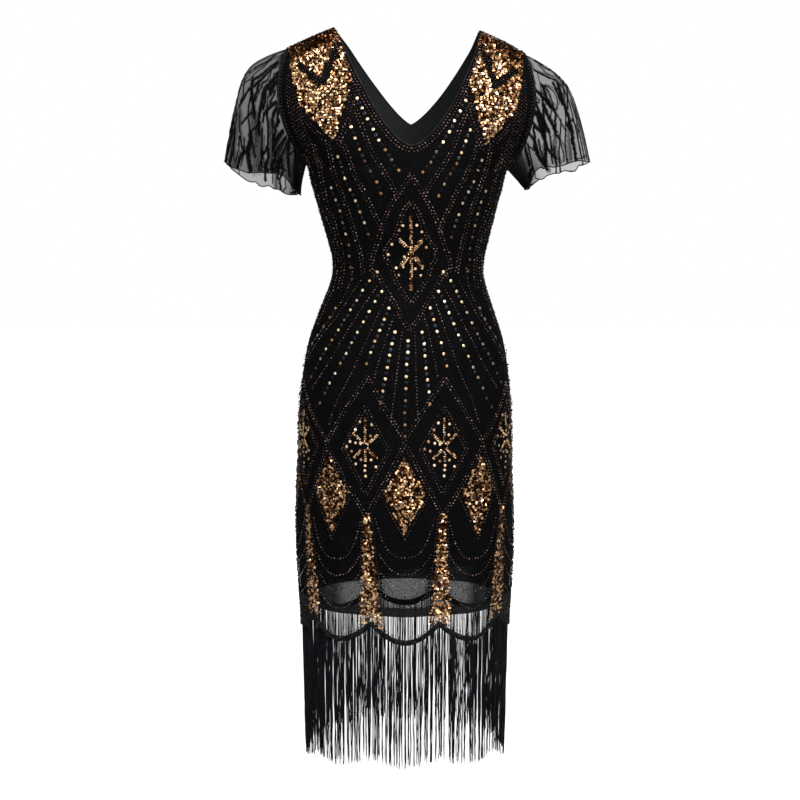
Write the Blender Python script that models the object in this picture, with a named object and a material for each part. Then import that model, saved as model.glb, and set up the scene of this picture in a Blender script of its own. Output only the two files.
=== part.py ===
"""Flapper dress, worn shape with no wearer: beaded net front and back over a plain slip lining,
short net sleeves and a scalloped hem with long fringe.

Metres, +Z up. The origin lies between the two shoulders, level with their high points, the front
faces -Y and the dress hangs down from there. Every piece is a cloth wall with the thickness below,
open at the neck, the cuffs and the hem.
"""

import math
from collections import namedtuple

import bmesh
import bpy
import numpy as np

# --- Walls and seams ---------------------------------------------------------------------------
NET_WALL = 0.0013  # beaded net of the front and back
LINING_WALL = 0.0010
SLEEVE_WALL = 0.0010
SEAM_GAP = 0.0004  # between two pieces that are sewn edge to edge
LINING_INSET = 0.0022  # lining behind the net: its wall and a small air gap
LINING_INSET_HEM = 0.0060  # the slip hangs further inside near its hem
LINING_EDGE = 0.004  # how far the slip stays back from neck, armhole and shoulder edges
LINING_ARMPIT_INSET = 0.0030  # it cuts the armpits' corners, so it sits further inside there
LINING_ARMPIT_SPAN = 0.045

# --- Shoulders, neck and armholes --------------------------------------------------------------
NECK_HALF_WIDTH = 0.107
SHOULDER_TIP_X = 0.172
SHOULDER_DROP = 0.030
ARMPIT_X = 0.147
ARMPIT_Z = -0.200
ARMHOLE_BULGE = 0.0235  # the armhole seam bows outward half way down
ARMHOLE_DEPTH_FRONT = 0.050
ARMHOLE_DEPTH_BACK = 0.055
FRONT_NECK_ROW = 127.5  # the yoke row, by its armhole angle, that the front V's point lies on
BACK_NECK_ROW = 105.0
FRONT_NECK_CURVE = 0.60  # 1 is a straight V, less bows its sides outward
BACK_NECK_CURVE = 0.75

# --- Hem ---------------------------------------------------------------------------------------
HEM_CUSP_Z = -0.872  # where two scallops meet
SCALLOP_DROP = 0.028
SCALLOP_SHAPE = 0.85  # below 1 the cusps are sharper
SCALLOPS_PER_QUARTER = 2  # eight round the whole hem
LINING_HEM_Z = -0.859
HEM_WAVE = 0.0025  # the skirt's bays stand out a little from its sequin columns
HEM_WAVE_TOP_Z = -0.62

# --- Mesh density ------------------------------------------------------------------------------
PANEL_COLUMNS = 12  # from centre front or centre back to the side seam
LINING_STEP = 2  # the lining takes every second column of the panel
SLEEVE_COLUMNS = 48  # every yoke row's armhole angle falls on one of them
SLEEVE_RINGS = 7
SHARP_ANGLE = 50.0  # an edge with a greater bend is shaded sharp

# --- Fringe ------------------------------------------------------------------------------------
STRANDS_PER_SIDE = 84
STRIP_HEIGHT = 0.005
STRIP_WALL = 0.0015
FRINGE_TIP_Z = -1.098
FRINGE_TIP_RISE = 0.014  # tips under a cusp end this much higher
FRINGE_SIDE_DROP = 0.013  # and tips at the sides this much lower
FRINGE_SIDE_LEAN = 0.004  # where they swing in towards the middle
FRINGE_REACH = 0.158
STRIP_DROP = 1.5 * SEAM_GAP  # the strip's top below the hem
STRAND_TAPER = 0.62
TIP_SPREAD = 0.007  # uneven ends, up or down
TIP_SWAY = 0.0009

# Sections of the body below the armpits. front and back are depths from the side seams' plane,
# lean shifts the whole section along X, turn shifts only its centre front and centre back.
Level = namedtuple("Level", "z half_width front back lean turn")
BODY_LEVELS = [
    Level(-0.900, 0.1570, 0.1055, 0.1055, -0.0006, 0.0000),
    Level(-0.872, 0.1578, 0.1070, 0.1070, -0.0006, 0.0000),
    Level(-0.832, 0.1609, 0.1105, 0.1105, -0.0006, 0.0000),
    Level(-0.784, 0.1635, 0.1145, 0.1140, -0.0008, 0.0000),
    Level(-0.737, 0.1643, 0.1175, 0.1180, -0.0012, 0.0000),
    Level(-0.690, 0.1635, 0.1195, 0.1215, -0.0014, 0.0000),
    Level(-0.643, 0.1618, 0.1205, 0.1240, -0.0012, 0.0000),
    Level(-0.596, 0.1614, 0.1200, 0.1260, -0.0008, 0.0005),
    Level(-0.550, 0.1596, 0.1180, 0.1260, -0.0005, 0.0018),
    Level(-0.519, 0.1562, 0.1155, 0.1240, 0.0000, 0.0030),
    Level(-0.488, 0.1521, 0.1120, 0.1190, 0.0004, 0.0038),
    Level(-0.458, 0.1460, 0.1070, 0.1120, 0.0007, 0.0044),
    Level(-0.428, 0.1360, 0.1000, 0.1030, 0.0012, 0.0046),
    Level(-0.397, 0.1249, 0.0935, 0.0930, 0.0022, 0.0046),
    Level(-0.372, 0.1160, 0.0890, 0.0865, 0.0030, 0.0044),
    Level(-0.352, 0.1122, 0.0870, 0.0840, 0.0036, 0.0042),
    Level(-0.332, 0.1138, 0.0890, 0.0845, 0.0040, 0.0040),
    Level(-0.307, 0.1197, 0.0950, 0.0870, 0.0036, 0.0040),
    Level(-0.277, 0.1277, 0.1045, 0.0910, 0.0028, 0.0042),
    Level(-0.246, 0.1362, 0.1130, 0.0945, 0.0022, 0.0046),
    Level(-0.220, 0.1432, 0.1175, 0.0970, 0.0020, 0.0052),
    Level(-0.200, 0.1470, 0.1185, 0.0980, 0.0020, 0.0056),
]

# Rows of the yoke above the armpits. armhole is the angle round the armhole, 180 at the armpit and
# 0 at the shoulder tip, front and back are the depths of that row's arc at its middle.
YokeRow = namedtuple("YokeRow", "armhole front back")
YOKE_ROWS = [
    YokeRow(150.0, 0.1180, 0.0985),
    YokeRow(127.5, 0.1135, 0.0990),
    YokeRow(105.0, 0.1045, 0.0970),
    YokeRow(90.0, 0.0945, 0.0930),
    YokeRow(75.0, 0.0820, 0.0850),
    YokeRow(60.0, 0.0690, 0.0745),
    YokeRow(45.0, 0.0550, 0.0620),
    YokeRow(30.0, 0.0390, 0.0450),
    YokeRow(15.0, 0.0200, 0.0240),
    YokeRow(0.0, 0.0000, 0.0000),
]
YOKE_TURN = [(-0.140, 0.0068), (-0.080, 0.0085), (-0.030, 0.0085), (0.0, 0.0025)]
ROLL = 0.022  # the right shoulder hangs lower than the left: fall of Z along X
ROLL_ENDS_Z = -0.352  # the roll fades out from the armpits to the waist
YOKE_SIDE_ANGLE = 52.0  # how far round its arc a yoke row runs, against 90 below the armpits
YOKE_WRAP_POWER = 6  # how fast that changes above the armpit

# The sleeve's outer line, from the shoulder tip over the cap to the hem: distance along it as a
# share, then X and Z. Its inner line runs straight from the armpit to the inner hem point.
CapPoint = namedtuple("CapPoint", "share x z")
LEFT_CAP = [
    CapPoint(0.00, 0.1720, -0.0300),
    CapPoint(0.16, 0.2040, -0.0425),
    CapPoint(0.30, 0.2280, -0.0575),
    CapPoint(0.44, 0.2430, -0.0820),
    CapPoint(0.60, 0.2520, -0.1150),
    CapPoint(0.80, 0.2610, -0.1550),
    CapPoint(1.00, 0.2690, -0.1970),
]
RIGHT_CAP = [
    CapPoint(0.00, 0.1720, -0.0300),
    CapPoint(0.16, 0.1960, -0.0425),
    CapPoint(0.30, 0.2190, -0.0570),
    CapPoint(0.44, 0.2390, -0.0790),
    CapPoint(0.60, 0.2520, -0.1110),
    CapPoint(0.80, 0.2620, -0.1460),
    CapPoint(1.00, 0.2705, -0.1830),
]
LEFT_INNER_HEM = (0.1600, -0.2430)
RIGHT_INNER_HEM = (0.1760, -0.2290)
SLEEVE_DEPTH = 0.071  # half its depth front to back at the hem
SLEEVE_HEM_LIFT = 0.005  # the front of the hem is drawn up
SLEEVE_HEM_SAG = 0.013  # and its back hangs lower
SLEEVE_BULGE_ENDS = 0.45

# Folds of a sleeve: angle round it (0 top, 90 front, 180 underarm, 270 back) at the seam and at the
# hem, the shares of its length where the fold starts and ends, its width in degrees and its depth.
Fold = namedtuple("Fold", "seam_angle hem_angle start end width depth")
FOLD_FADE_IN = 0.25
FOLD_FADE_OUT = 0.20
LEFT_FOLDS = [
    Fold(12, 18, 0.10, 1.00, 17, -0.0048),
    Fold(34, 40, 0.15, 1.00, 15, -0.0060),
    Fold(58, 55, 0.05, 0.90, 16, -0.0054),
    Fold(76, 78, 0.20, 1.00, 15, -0.0062),
    Fold(104, 96, 0.00, 0.80, 16, -0.0054),
    Fold(122, 118, 0.15, 1.00, 15, -0.0048),
    Fold(148, 140, 0.30, 1.00, 14, -0.0040),
    Fold(222, 220, 0.30, 1.00, 15, -0.0044),
    Fold(250, 246, 0.10, 1.00, 16, -0.0056),
    Fold(282, 272, 0.05, 0.85, 16, -0.0054),
    Fold(304, 300, 0.20, 1.00, 17, -0.0062),
    Fold(336, 330, 0.10, 0.95, 17, -0.0048),
]
RIGHT_FOLDS = [
    Fold(16, 10, 0.10, 1.00, 17, -0.0054),
    Fold(30, 36, 0.20, 1.00, 15, -0.0060),
    Fold(52, 62, 0.05, 1.00, 16, -0.0060),
    Fold(78, 84, 0.10, 0.85, 15, -0.0054),
    Fold(98, 106, 0.00, 1.00, 16, -0.0060),
    Fold(124, 128, 0.20, 1.00, 15, -0.0048),
    Fold(150, 148, 0.35, 1.00, 14, -0.0040),
    Fold(218, 222, 0.30, 1.00, 15, -0.0040),
    Fold(246, 250, 0.15, 1.00, 16, -0.0054),
    Fold(276, 284, 0.05, 0.90, 16, -0.0056),
    Fold(308, 302, 0.15, 1.00, 17, -0.0060),
    Fold(338, 342, 0.10, 1.00, 17, -0.0048),
]
RUFFLE_WAVES = 5  # waves of the hem round the underarm
RUFFLE_HALF_SPAN = 62.0  # degrees each way from the underarm line
RUFFLE_DEPTH = 0.0042
RUFFLE_START = 0.45
RUFFLE_GROWTH = 1.5

RANDOM_SEED = 5


def curve_through(points, values):
    """A smooth function through the table's points, without overshoot between them."""
    order = np.argsort(points)
    x = np.asarray(points, float)[order]
    y = np.asarray(values, float)[order]
    step = np.diff(x)
    slope = np.diff(y) / step
    tangent = np.zeros_like(y)
    tangent[0] = slope[0]
    tangent[-1] = slope[-1]
    same_way = slope[:-1] * slope[1:] > 0
    middle = 2 * slope[:-1] * slope[1:] / np.where(same_way, slope[:-1] + slope[1:], 1.0)
    tangent[1:-1] = np.where(same_way, middle, 0.0)

    def at(where):
        where = np.clip(where, x[0], x[-1])
        i = np.clip(np.searchsorted(x, where) - 1, 0, len(step) - 1)
        t = (where - x[i]) / step[i]
        start = y[i] * (1 + 2 * t) * (1 - t) ** 2 + step[i] * tangent[i] * t * (1 - t) ** 2
        end = y[i + 1] * t**2 * (3 - 2 * t) - step[i] * tangent[i + 1] * t**2 * (1 - t)
        return start + end

    return at


def column(rows, name):
    return [getattr(row, name) for row in rows]


def body_curve(name):
    return curve_through(column(BODY_LEVELS, "z"), column(BODY_LEVELS, name))


HALF_WIDTH = body_curve("half_width")
FRONT_DEPTH = body_curve("front")
BACK_DEPTH = body_curve("back")
LEAN = curve_through(
    column(BODY_LEVELS, "z") + [0.0],
    column(BODY_LEVELS, "lean") + [0.0],
)
TURN = curve_through(
    column(BODY_LEVELS, "z") + [z for z, _ in YOKE_TURN],
    column(BODY_LEVELS, "turn") + [turn for _, turn in YOKE_TURN],
)


def hang(points):
    """Leans, turns and rolls the whole dress a little, as it hangs: X moves by LEAN, the centre by
    TURN too, and the shoulders tip sideways by ROLL."""
    moved = np.array(points, float)
    z = moved[..., 2].copy()
    reach = np.where(z < ARMPIT_Z, HALF_WIDTH(z), SHOULDER_TIP_X)
    middle = np.clip(1 - (moved[..., 0] / reach) ** 2, 0, 1)
    fade = np.clip((z - ROLL_ENDS_Z) / (ARMPIT_Z - ROLL_ENDS_Z), 0, 1)
    moved[..., 2] = z - ROLL * fade * moved[..., 0]
    moved[..., 0] += LEAN(z) + TURN(z) * middle
    return moved


def even_angles(half_width, depth, share):
    """Angles from the centre line, at even steps of length along a quarter of the ellipse."""
    fine = np.linspace(0, math.pi / 2, 181)
    speed = np.hypot(half_width * np.cos(fine), depth * np.sin(fine))
    length = np.concatenate([[0], np.cumsum((speed[1:] + speed[:-1]) / 2 * np.diff(fine))])
    return np.interp(np.asarray(share) * length[-1], length, fine)


def armhole(angle, depth):
    """X, depth and Z of the armhole seam at an angle: 0 at the shoulder tip, 180 at the armpit."""
    turn = np.radians(angle)
    top = np.array([SHOULDER_TIP_X, -SHOULDER_DROP])
    bottom = np.array([ARMPIT_X, ARMPIT_Z])
    middle, reach = (top + bottom) / 2, (top - bottom) / 2
    x = middle[0] + reach[0] * np.cos(turn) + ARMHOLE_BULGE * np.sin(turn) ** 2
    z = middle[1] + reach[1] * np.cos(turn)
    return x, depth * np.sin(turn), z


def neck_depth(is_front):
    return -armhole(FRONT_NECK_ROW if is_front else BACK_NECK_ROW, 0.0)[2]


def neckline_x(z, is_front):
    """Half width of the V at a height: full at the shoulders, 0 at its point."""
    share = np.clip(1 + z / neck_depth(is_front), 0, 1)
    return NECK_HALF_WIDTH * share ** (FRONT_NECK_CURVE if is_front else BACK_NECK_CURVE)


def scallop_z(share):
    """The hem's height at a share of the quarter: lows at centre and side, pointed cusps between."""
    wave = np.abs(np.cos(math.pi * SCALLOPS_PER_QUARTER * share))
    return HEM_CUSP_Z - SCALLOP_DROP * wave**SCALLOP_SHAPE


def half_panel(is_front, hem, waves):
    """Points of the right half of a front or back, as rows from the hem up to the shoulder seam,
    each from the centre line or neckline out to the side seam or armhole."""
    shares = np.linspace(0, 1, PANEL_COLUMNS + 1)
    depth_of = FRONT_DEPTH if is_front else BACK_DEPTH
    armhole_depth = ARMHOLE_DEPTH_FRONT if is_front else ARMHOLE_DEPTH_BACK
    point_z = -neck_depth(is_front)
    rows = []
    for level in BODY_LEVELS[1:]:
        z = hem(shares) if level is BODY_LEVELS[1] else np.full_like(shares, level.z)
        wave = waves * HEM_WAVE * near_hem(z) * np.cos(2 * math.pi * SCALLOPS_PER_QUARTER * shares)
        angle = even_angles(level.half_width, level.front if is_front else level.back, shares)
        x = (HALF_WIDTH(z) + wave) * np.sin(angle)
        y = (depth_of(z) + wave) * np.cos(angle)
        rows.append(np.stack([x, y, z], axis=-1))
    side = math.radians(YOKE_SIDE_ANGLE)
    for row in YOKE_ROWS:
        end_x, end_y, end_z = armhole(row.armhole, armhole_depth)
        rise = SHOULDER_DROP * max((end_z - point_z) / (-SHOULDER_DROP - point_z), 0.0)
        reach = side + (math.pi / 2 - side) * (row.armhole / 180) ** YOKE_WRAP_POWER
        neck_x = neckline_x(end_z + rise, is_front)
        start = math.asin(neck_x * math.sin(reach) / end_x)
        angle = start + (reach - start) * shares
        bow_out = (np.cos(angle) - math.cos(reach)) / (1 - math.cos(reach))
        x = end_x * np.sin(angle) / math.sin(reach)
        y = end_y + ((row.front if is_front else row.back) - end_y) * bow_out
        z = end_z + rise * (1 - shares)
        rows.append(np.stack([x, y, z], axis=-1))
    points = np.array(rows)
    points[..., 1] = (-1.0 if is_front else 1.0) * np.maximum(points[..., 1], SEAM_GAP / 2)
    return points


def near_hem(z):
    """0 above the waved part of the skirt, 1 at the hem's cusps."""
    return np.clip((HEM_WAVE_TOP_Z - z) / (HEM_WAVE_TOP_Z - HEM_CUSP_Z), 0, 1)


def outward_of(points):
    """Unit vectors that point out of a half panel. They stay in the plane of the centre line and
    in that of the side and shoulder seams, so that both halves and both panels agree there."""
    across = np.gradient(points, axis=1)
    up = np.gradient(points, axis=0)
    outward = np.cross(across, up)
    outward *= np.sign(np.sum(outward[..., 1] * points[..., 1]))
    outward[np.abs(points[..., 0]) < SEAM_GAP, 0] = 0.0
    outward[np.abs(points[..., 1]) < SEAM_GAP, 1] = 0.0
    return outward / np.linalg.norm(outward, axis=-1)[..., None]


def pull_back(line, start, end):
    """The same line of points, kept back by a length at its start and at its end."""
    steps = np.linalg.norm(np.diff(line, axis=0), axis=1)
    along = np.concatenate([[0], np.cumsum(steps)])
    wanted = start + along / along[-1] * (along[-1] - start - end)
    return np.stack([np.interp(wanted, along, line[:, i]) for i in range(3)], axis=-1)


def half_lining(is_front):
    """The half panel's own points moved inside it, every second column, kept back from the edges
    of the neck, armhole and shoulder."""
    points = half_panel(is_front, lambda share: np.full_like(share, LINING_HEM_Z), 0)
    z = points[..., 2:]
    near_armpit = np.clip(1 - np.abs(z - ARMPIT_Z) / LINING_ARMPIT_SPAN, 0, 1)
    inset = LINING_INSET + (LINING_INSET_HEM - LINING_INSET) * near_hem(z)
    inset = inset + LINING_ARMPIT_INSET * near_armpit
    points = points - outward_of(points) * inset
    yoke = len(points) - len(YOKE_ROWS)
    for number in range(yoke, len(points)):
        open_neck = points[number, 0, 2] > LINING_EDGE - neck_depth(is_front)
        points[number] = pull_back(points[number], LINING_EDGE * open_neck, LINING_EDGE)
    for across in range(PANEL_COLUMNS + 1):
        points[yoke:, across] = pull_back(points[yoke:, across], 0.0, LINING_EDGE)
    return points[:, ::LINING_STEP]


def grid_faces(rows, columns, start):
    """Quads of a grid of points, numbered row by row from start."""
    corner = start + np.arange(rows - 1)[:, None] * columns + np.arange(columns - 1)
    return np.stack([corner, corner + 1, corner + columns + 1, corner + columns], -1).reshape(-1, 4)


def mesh_object(name, points, faces, material, collection, parent):
    mesh = bpy.data.meshes.new(name)
    mesh.from_pydata([tuple(p) for p in points], [], [tuple(int(i) for i in f) for f in faces])
    shape = bmesh.new()
    shape.from_mesh(mesh)
    bmesh.ops.remove_doubles(shape, verts=shape.verts, dist=1e-6)
    bmesh.ops.recalc_face_normals(shape, faces=shape.faces)
    shape.to_mesh(mesh)
    shape.free()
    mesh.shade_smooth()
    mesh.materials.append(material)
    obj = bpy.data.objects.new(name, mesh)
    collection.objects.link(obj)
    obj.parent = parent
    return obj


def face_outward(obj):
    """Turns an open sheet's faces so that they look away from the body's upright middle line."""
    mesh = obj.data
    outward = sum(
        face.area * (face.normal.x * face.center.x + face.normal.y * face.center.y)
        for face in mesh.polygons
    )
    if outward < 0:
        mesh.flip_normals()


def outward_at_points(mesh):
    """Each point's place and its outward direction, kept in the plane of the side and shoulder
    seams along them, so that two pieces' walls stay apart there."""
    count = len(mesh.vertices)
    place = np.empty(count * 3)
    outward = np.empty(count * 3)
    mesh.vertices.foreach_get("co", place)
    mesh.vertex_normals.foreach_get("vector", outward)
    place, outward = place.reshape(-1, 3), outward.reshape(-1, 3)
    outward[np.abs(place[:, 1]) <= SEAM_GAP, 1] = 0.0
    return place, outward


def add_wall(obj, thickness, place, outward):
    """Closes an open sheet into a wall of this thickness on its inner side, with a flat rim."""
    mesh = obj.data
    count = len(place)
    inner = place - outward / np.linalg.norm(outward, axis=1)[:, None] * thickness
    sheet = [tuple(face.vertices) for face in mesh.polygons]
    inner_sheet = [tuple(i + count for i in face[::-1]) for face in sheet]
    directed = {(a, b) for face in sheet for a, b in zip(face, face[1:] + face[:1], strict=True)}
    rim = [(b, a, a + count, b + count) for a, b in directed if (b, a) not in directed]
    closed = bpy.data.meshes.new(obj.name)
    closed.from_pydata(np.concatenate([place, inner]).tolist(), [], sheet + inner_sheet + sorted(rim))
    closed.shade_smooth()
    closed.set_sharp_from_angle(angle=math.radians(SHARP_ANGLE))
    closed.materials.append(mesh.materials[0])
    obj.data = closed
    bpy.data.meshes.remove(mesh)
    closed.name = obj.name


def panel(name, right, thickness, dress):
    """One piece of the body from its right half: mirrored, hung and given its wall."""
    rows, across = right.shape[:2]
    left = right * np.array([-1.0, 1.0, 1.0])
    points = np.concatenate([hang(right).reshape(-1, 3), hang(left).reshape(-1, 3)])
    right_faces = grid_faces(rows, across, 0)
    left_faces = grid_faces(rows, across, rows * across)[:, ::-1]
    faces = np.concatenate([right_faces, left_faces])
    obj = mesh_object(name, points, faces, dress.material, dress.collection, dress.parent)
    face_outward(obj)
    add_wall(obj, thickness, *outward_at_points(obj.data))
    return obj


def fold_depth(folds, angle, share):
    """Sum of the folds at each point: a soft trough across, fading in and out along its length."""
    total = np.zeros(np.broadcast(angle, share).shape)
    for fold in folds:
        centre = fold.seam_angle + (fold.hem_angle - fold.seam_angle) * share
        across = np.clip(1 - (np.abs(angle - centre) / fold.width) ** 2, 0, 1) ** 2
        fade_in = np.clip((share - fold.start) / FOLD_FADE_IN, 0, 1)
        fade_out = 1.0 if fold.end >= 1.0 else np.clip((fold.end - share) / FOLD_FADE_OUT, 0, 1)
        total += fold.depth * across * fade_in * fade_out
    return total


def ruffle_depth(angle, share):
    """Waves of the hem round the underarm line."""
    off = np.abs(angle - 180) / RUFFLE_HALF_SPAN
    window = np.clip(1 - off**2, 0, 1)
    wave = np.cos(np.radians((angle - 180) * 180 * RUFFLE_WAVES / RUFFLE_HALF_SPAN / 2))
    grows = np.clip((share - RUFFLE_START) / (1 - RUFFLE_START), 0, 1) ** RUFFLE_GROWTH
    return RUFFLE_DEPTH * window * wave * grows


def armhole_chord_gap(angle):
    """How far the straight seam between two yoke rows lies inside the curved armhole, along X."""
    knots = np.array([180.0] + [row.armhole for row in YOKE_ROWS])[::-1]
    down = np.where(angle > 180, 360 - angle, angle)
    return np.interp(down, knots, armhole(knots, 0.0)[0]) - armhole(down, 0.0)[0]


def sleeve(name, side, cap, inner_hem, folds, dress):
    """A sleeve as rings that fan out from the armhole to the hem. side is 1 for +X, -1 for -X."""
    share = np.linspace(0, 1, SLEEVE_RINGS + 1)[:, None]
    angle = (np.arange(SLEEVE_COLUMNS) * 360 / SLEEVE_COLUMNS)[None, :]
    turn = np.radians(angle)
    outer_x = curve_through(column(cap, "share"), column(cap, "x"))(share)
    outer_z = curve_through(column(cap, "share"), column(cap, "z"))(share)
    inner_x = ARMPIT_X + (inner_hem[0] - ARMPIT_X) * share
    inner_z = ARMPIT_Z + (inner_hem[1] - ARMPIT_Z) * share
    middle_x, reach_x = (outer_x + inner_x) / 2, (outer_x - inner_x) / 2
    middle_z, reach_z = (outer_z + inner_z) / 2, (outer_z - inner_z) / 2
    front_side = np.sin(turn) >= 0
    seam_depth = np.where(front_side, ARMHOLE_DEPTH_FRONT, ARMHOLE_DEPTH_BACK)
    widen = np.sin(share * math.pi / 2)
    depth = seam_depth + (SLEEVE_DEPTH - seam_depth) * widen
    bulge = ARMHOLE_BULGE * np.clip(1 - share / SLEEVE_BULGE_ENDS, 0, 1) ** 2
    stand_off = SEAM_GAP + (NET_WALL + SLEEVE_WALL) * (1 - np.cos(turn)) / 2
    x = middle_x + reach_x * np.cos(turn) + bulge * np.sin(turn) ** 2 + stand_off
    y = -depth * np.sin(turn)
    tilt = np.where(front_side, SLEEVE_HEM_LIFT, SLEEVE_HEM_SAG) * np.sin(turn)
    z = middle_z + reach_z * np.cos(turn) + tilt * share
    x[0] += armhole_chord_gap(angle[0])
    move = fold_depth(folds, angle, share) + ruffle_depth(angle, share)
    move[0] = 0.0
    length = np.hypot(reach_x, reach_z)
    x = x + move * np.cos(turn) * reach_x / length
    y = y - move * np.sin(turn)
    z = z + move * np.cos(turn) * reach_z / length
    points = hang(np.stack([side * x, y + 0 * x, z], axis=-1))
    rings, across = points.shape[:2]
    ring, column_no = np.meshgrid(np.arange(rings - 1), np.arange(across), indexing="ij")
    after = (column_no + 1) % across
    corners = [
        ring * across + column_no,
        ring * across + after,
        (ring + 1) * across + after,
        (ring + 1) * across + column_no,
    ]
    faces = np.stack(corners, -1).reshape(-1, 4)
    if side < 0:
        faces = faces[:, ::-1]
    obj = mesh_object(name, points.reshape(-1, 3), faces, dress.material, dress.collection, dress.parent)
    away = sum(face.area * face.normal.y * face.center.y for face in obj.data.polygons)
    if away < 0:
        obj.data.flip_normals()
    place, outward = outward_at_points(obj.data)
    at_seam = slice(0, SLEEVE_COLUMNS)
    outward[at_seam, 0] = side * np.minimum(side * outward[at_seam, 0], 0.0)
    add_wall(obj, SLEEVE_WALL, place, outward)
    return obj


def fringe(name, is_front, dress):
    """A strip just below the scalloped hem with a tapered strand drawn down from every other one
    of its lower faces."""
    right_hem = half_panel(is_front, scallop_z, 1)[0]
    left_hem = right_hem * np.array([-1.0, 1.0, 1.0])
    hem = hang(np.concatenate([left_hem[::-1], right_hem[1:]]))
    places = np.linspace(0, len(hem) - 1, 2 * STRANDS_PER_SIDE + 2)
    outer = np.stack([np.interp(places, np.arange(len(hem)), hem[:, i]) for i in range(3)], -1)
    outer[:, 2] -= STRIP_DROP
    along = np.gradient(outer[:, :2], axis=0)
    along[[0, -1], 0] = 0.0
    inward = np.stack([-along[:, 1], along[:, 0]], -1) / np.hypot(*along.T)[:, None]
    if not is_front:
        inward = -inward
    inner = outer.copy()
    inner[:, :2] += inward * STRIP_WALL
    drop = np.array([0, 0, STRIP_HEIGHT])
    rails = [outer, outer - drop, inner - drop, inner]
    count = len(outer)
    points = np.concatenate(rails)
    faces = []
    for rail in range(4):
        below = (rail + 1) % 4
        for i in range(count - 1):
            faces.append((rail * count + i, below * count + i, below * count + i + 1, rail * count + i + 1))
    for end in (0, count - 1):
        faces.append(tuple(rail * count + end for rail in range(4)))
    obj = mesh_object(name, points, faces, dress.material, dress.collection, dress.parent)
    shape = bmesh.new()
    shape.from_mesh(obj.data)
    shape.faces.ensure_lookup_table()
    under = shape.faces[count - 1 : 2 * (count - 1)]
    draw_strands(shape, under[1::2], 1 if is_front else 2)
    bmesh.ops.recalc_face_normals(shape, faces=shape.faces)
    shape.to_mesh(obj.data)
    shape.free()
    return obj


def draw_strands(shape, roots, seed):
    """Extrudes each root face down to its tip, tapered, a little uneven in length and sway."""
    dice = np.random.default_rng(RANDOM_SEED + seed)
    drawn = bmesh.ops.extrude_discrete_faces(shape, faces=roots)["faces"]
    for tip, uneven, sway in zip(
        drawn, dice.uniform(-1, 1, len(drawn)), dice.uniform(-1, 1, len(drawn)), strict=True
    ):
        centre = tip.calc_center_median()
        from_low = (centre.z - (HEM_CUSP_Z - SCALLOP_DROP)) / SCALLOP_DROP
        tip_z = FRINGE_TIP_Z + FRINGE_TIP_RISE * from_low + TIP_SPREAD * (uneven + 1) / 2
        outwards = centre.x / FRINGE_REACH
        tip_z -= FRINGE_SIDE_DROP * outwards**4
        shift = sway * TIP_SWAY - FRINGE_SIDE_LEAN * outwards**5
        for vert in tip.verts:
            vert.co.x = centre.x + (vert.co.x - centre.x) * STRAND_TAPER + shift
            vert.co.y = centre.y + (vert.co.y - centre.y) * STRAND_TAPER
            vert.co.z = tip_z


def material(name, colour, roughness, metallic=0.0):
    made = bpy.data.materials.new(name)
    made.use_nodes = True
    shader = made.node_tree.nodes["Principled BSDF"]
    shader.inputs["Base Color"].default_value = (*colour, 1.0)
    shader.inputs["Roughness"].default_value = roughness
    shader.inputs["Metallic"].default_value = metallic
    return made


def clear_scene():
    for obj in list(bpy.data.objects):
        bpy.data.objects.remove(obj, do_unlink=True)


Dress = namedtuple("Dress", "collection parent material")


def main():
    clear_scene()
    collection = bpy.data.collections.new("flapper_dress")
    bpy.context.scene.collection.children.link(collection)
    parent = bpy.data.objects.new("flapper_dress_origin", None)
    collection.objects.link(parent)

    net = Dress(collection, parent, material("beaded_net", (0.012, 0.012, 0.014), 0.6))
    slip = Dress(collection, parent, material("slip_lining", (0.010, 0.010, 0.012), 0.5))
    tulle = Dress(collection, parent, material("sleeve_net", (0.035, 0.034, 0.036), 0.7))
    thread = Dress(collection, parent, material("fringe_thread", (0.010, 0.011, 0.016), 0.45))

    for is_front, word in ((True, "front"), (False, "back")):
        panel(f"{word}_panel", half_panel(is_front, scallop_z, 1), NET_WALL, net)
        panel(f"lining_{word}", half_lining(is_front), LINING_WALL, slip)
        fringe(f"fringe_{word}", is_front, thread)
    sleeve("sleeve_left", -1, LEFT_CAP, LEFT_INNER_HEM, LEFT_FOLDS, tulle)
    sleeve("sleeve_right", 1, RIGHT_CAP, RIGHT_INNER_HEM, RIGHT_FOLDS, tulle)


main()
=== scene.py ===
"""Flapper dress in its worn shape: beaded black net over a plain slip, short sheer sleeves, a
scalloped hem with long fringe, seed beads, round spangles, bugle stars and sequin fields.

Every piece lies on one garment form: a stack of body sections up to the armpits, then yoke rows
that follow the armhole up to the shoulder seams. Metres, +Z up, the front faces -Y.
"""

from __future__ import annotations

import logging
import math
from collections.abc import Callable, Iterable, Sequence
from dataclasses import dataclass, field
from enum import Enum
from typing import NamedTuple

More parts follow.
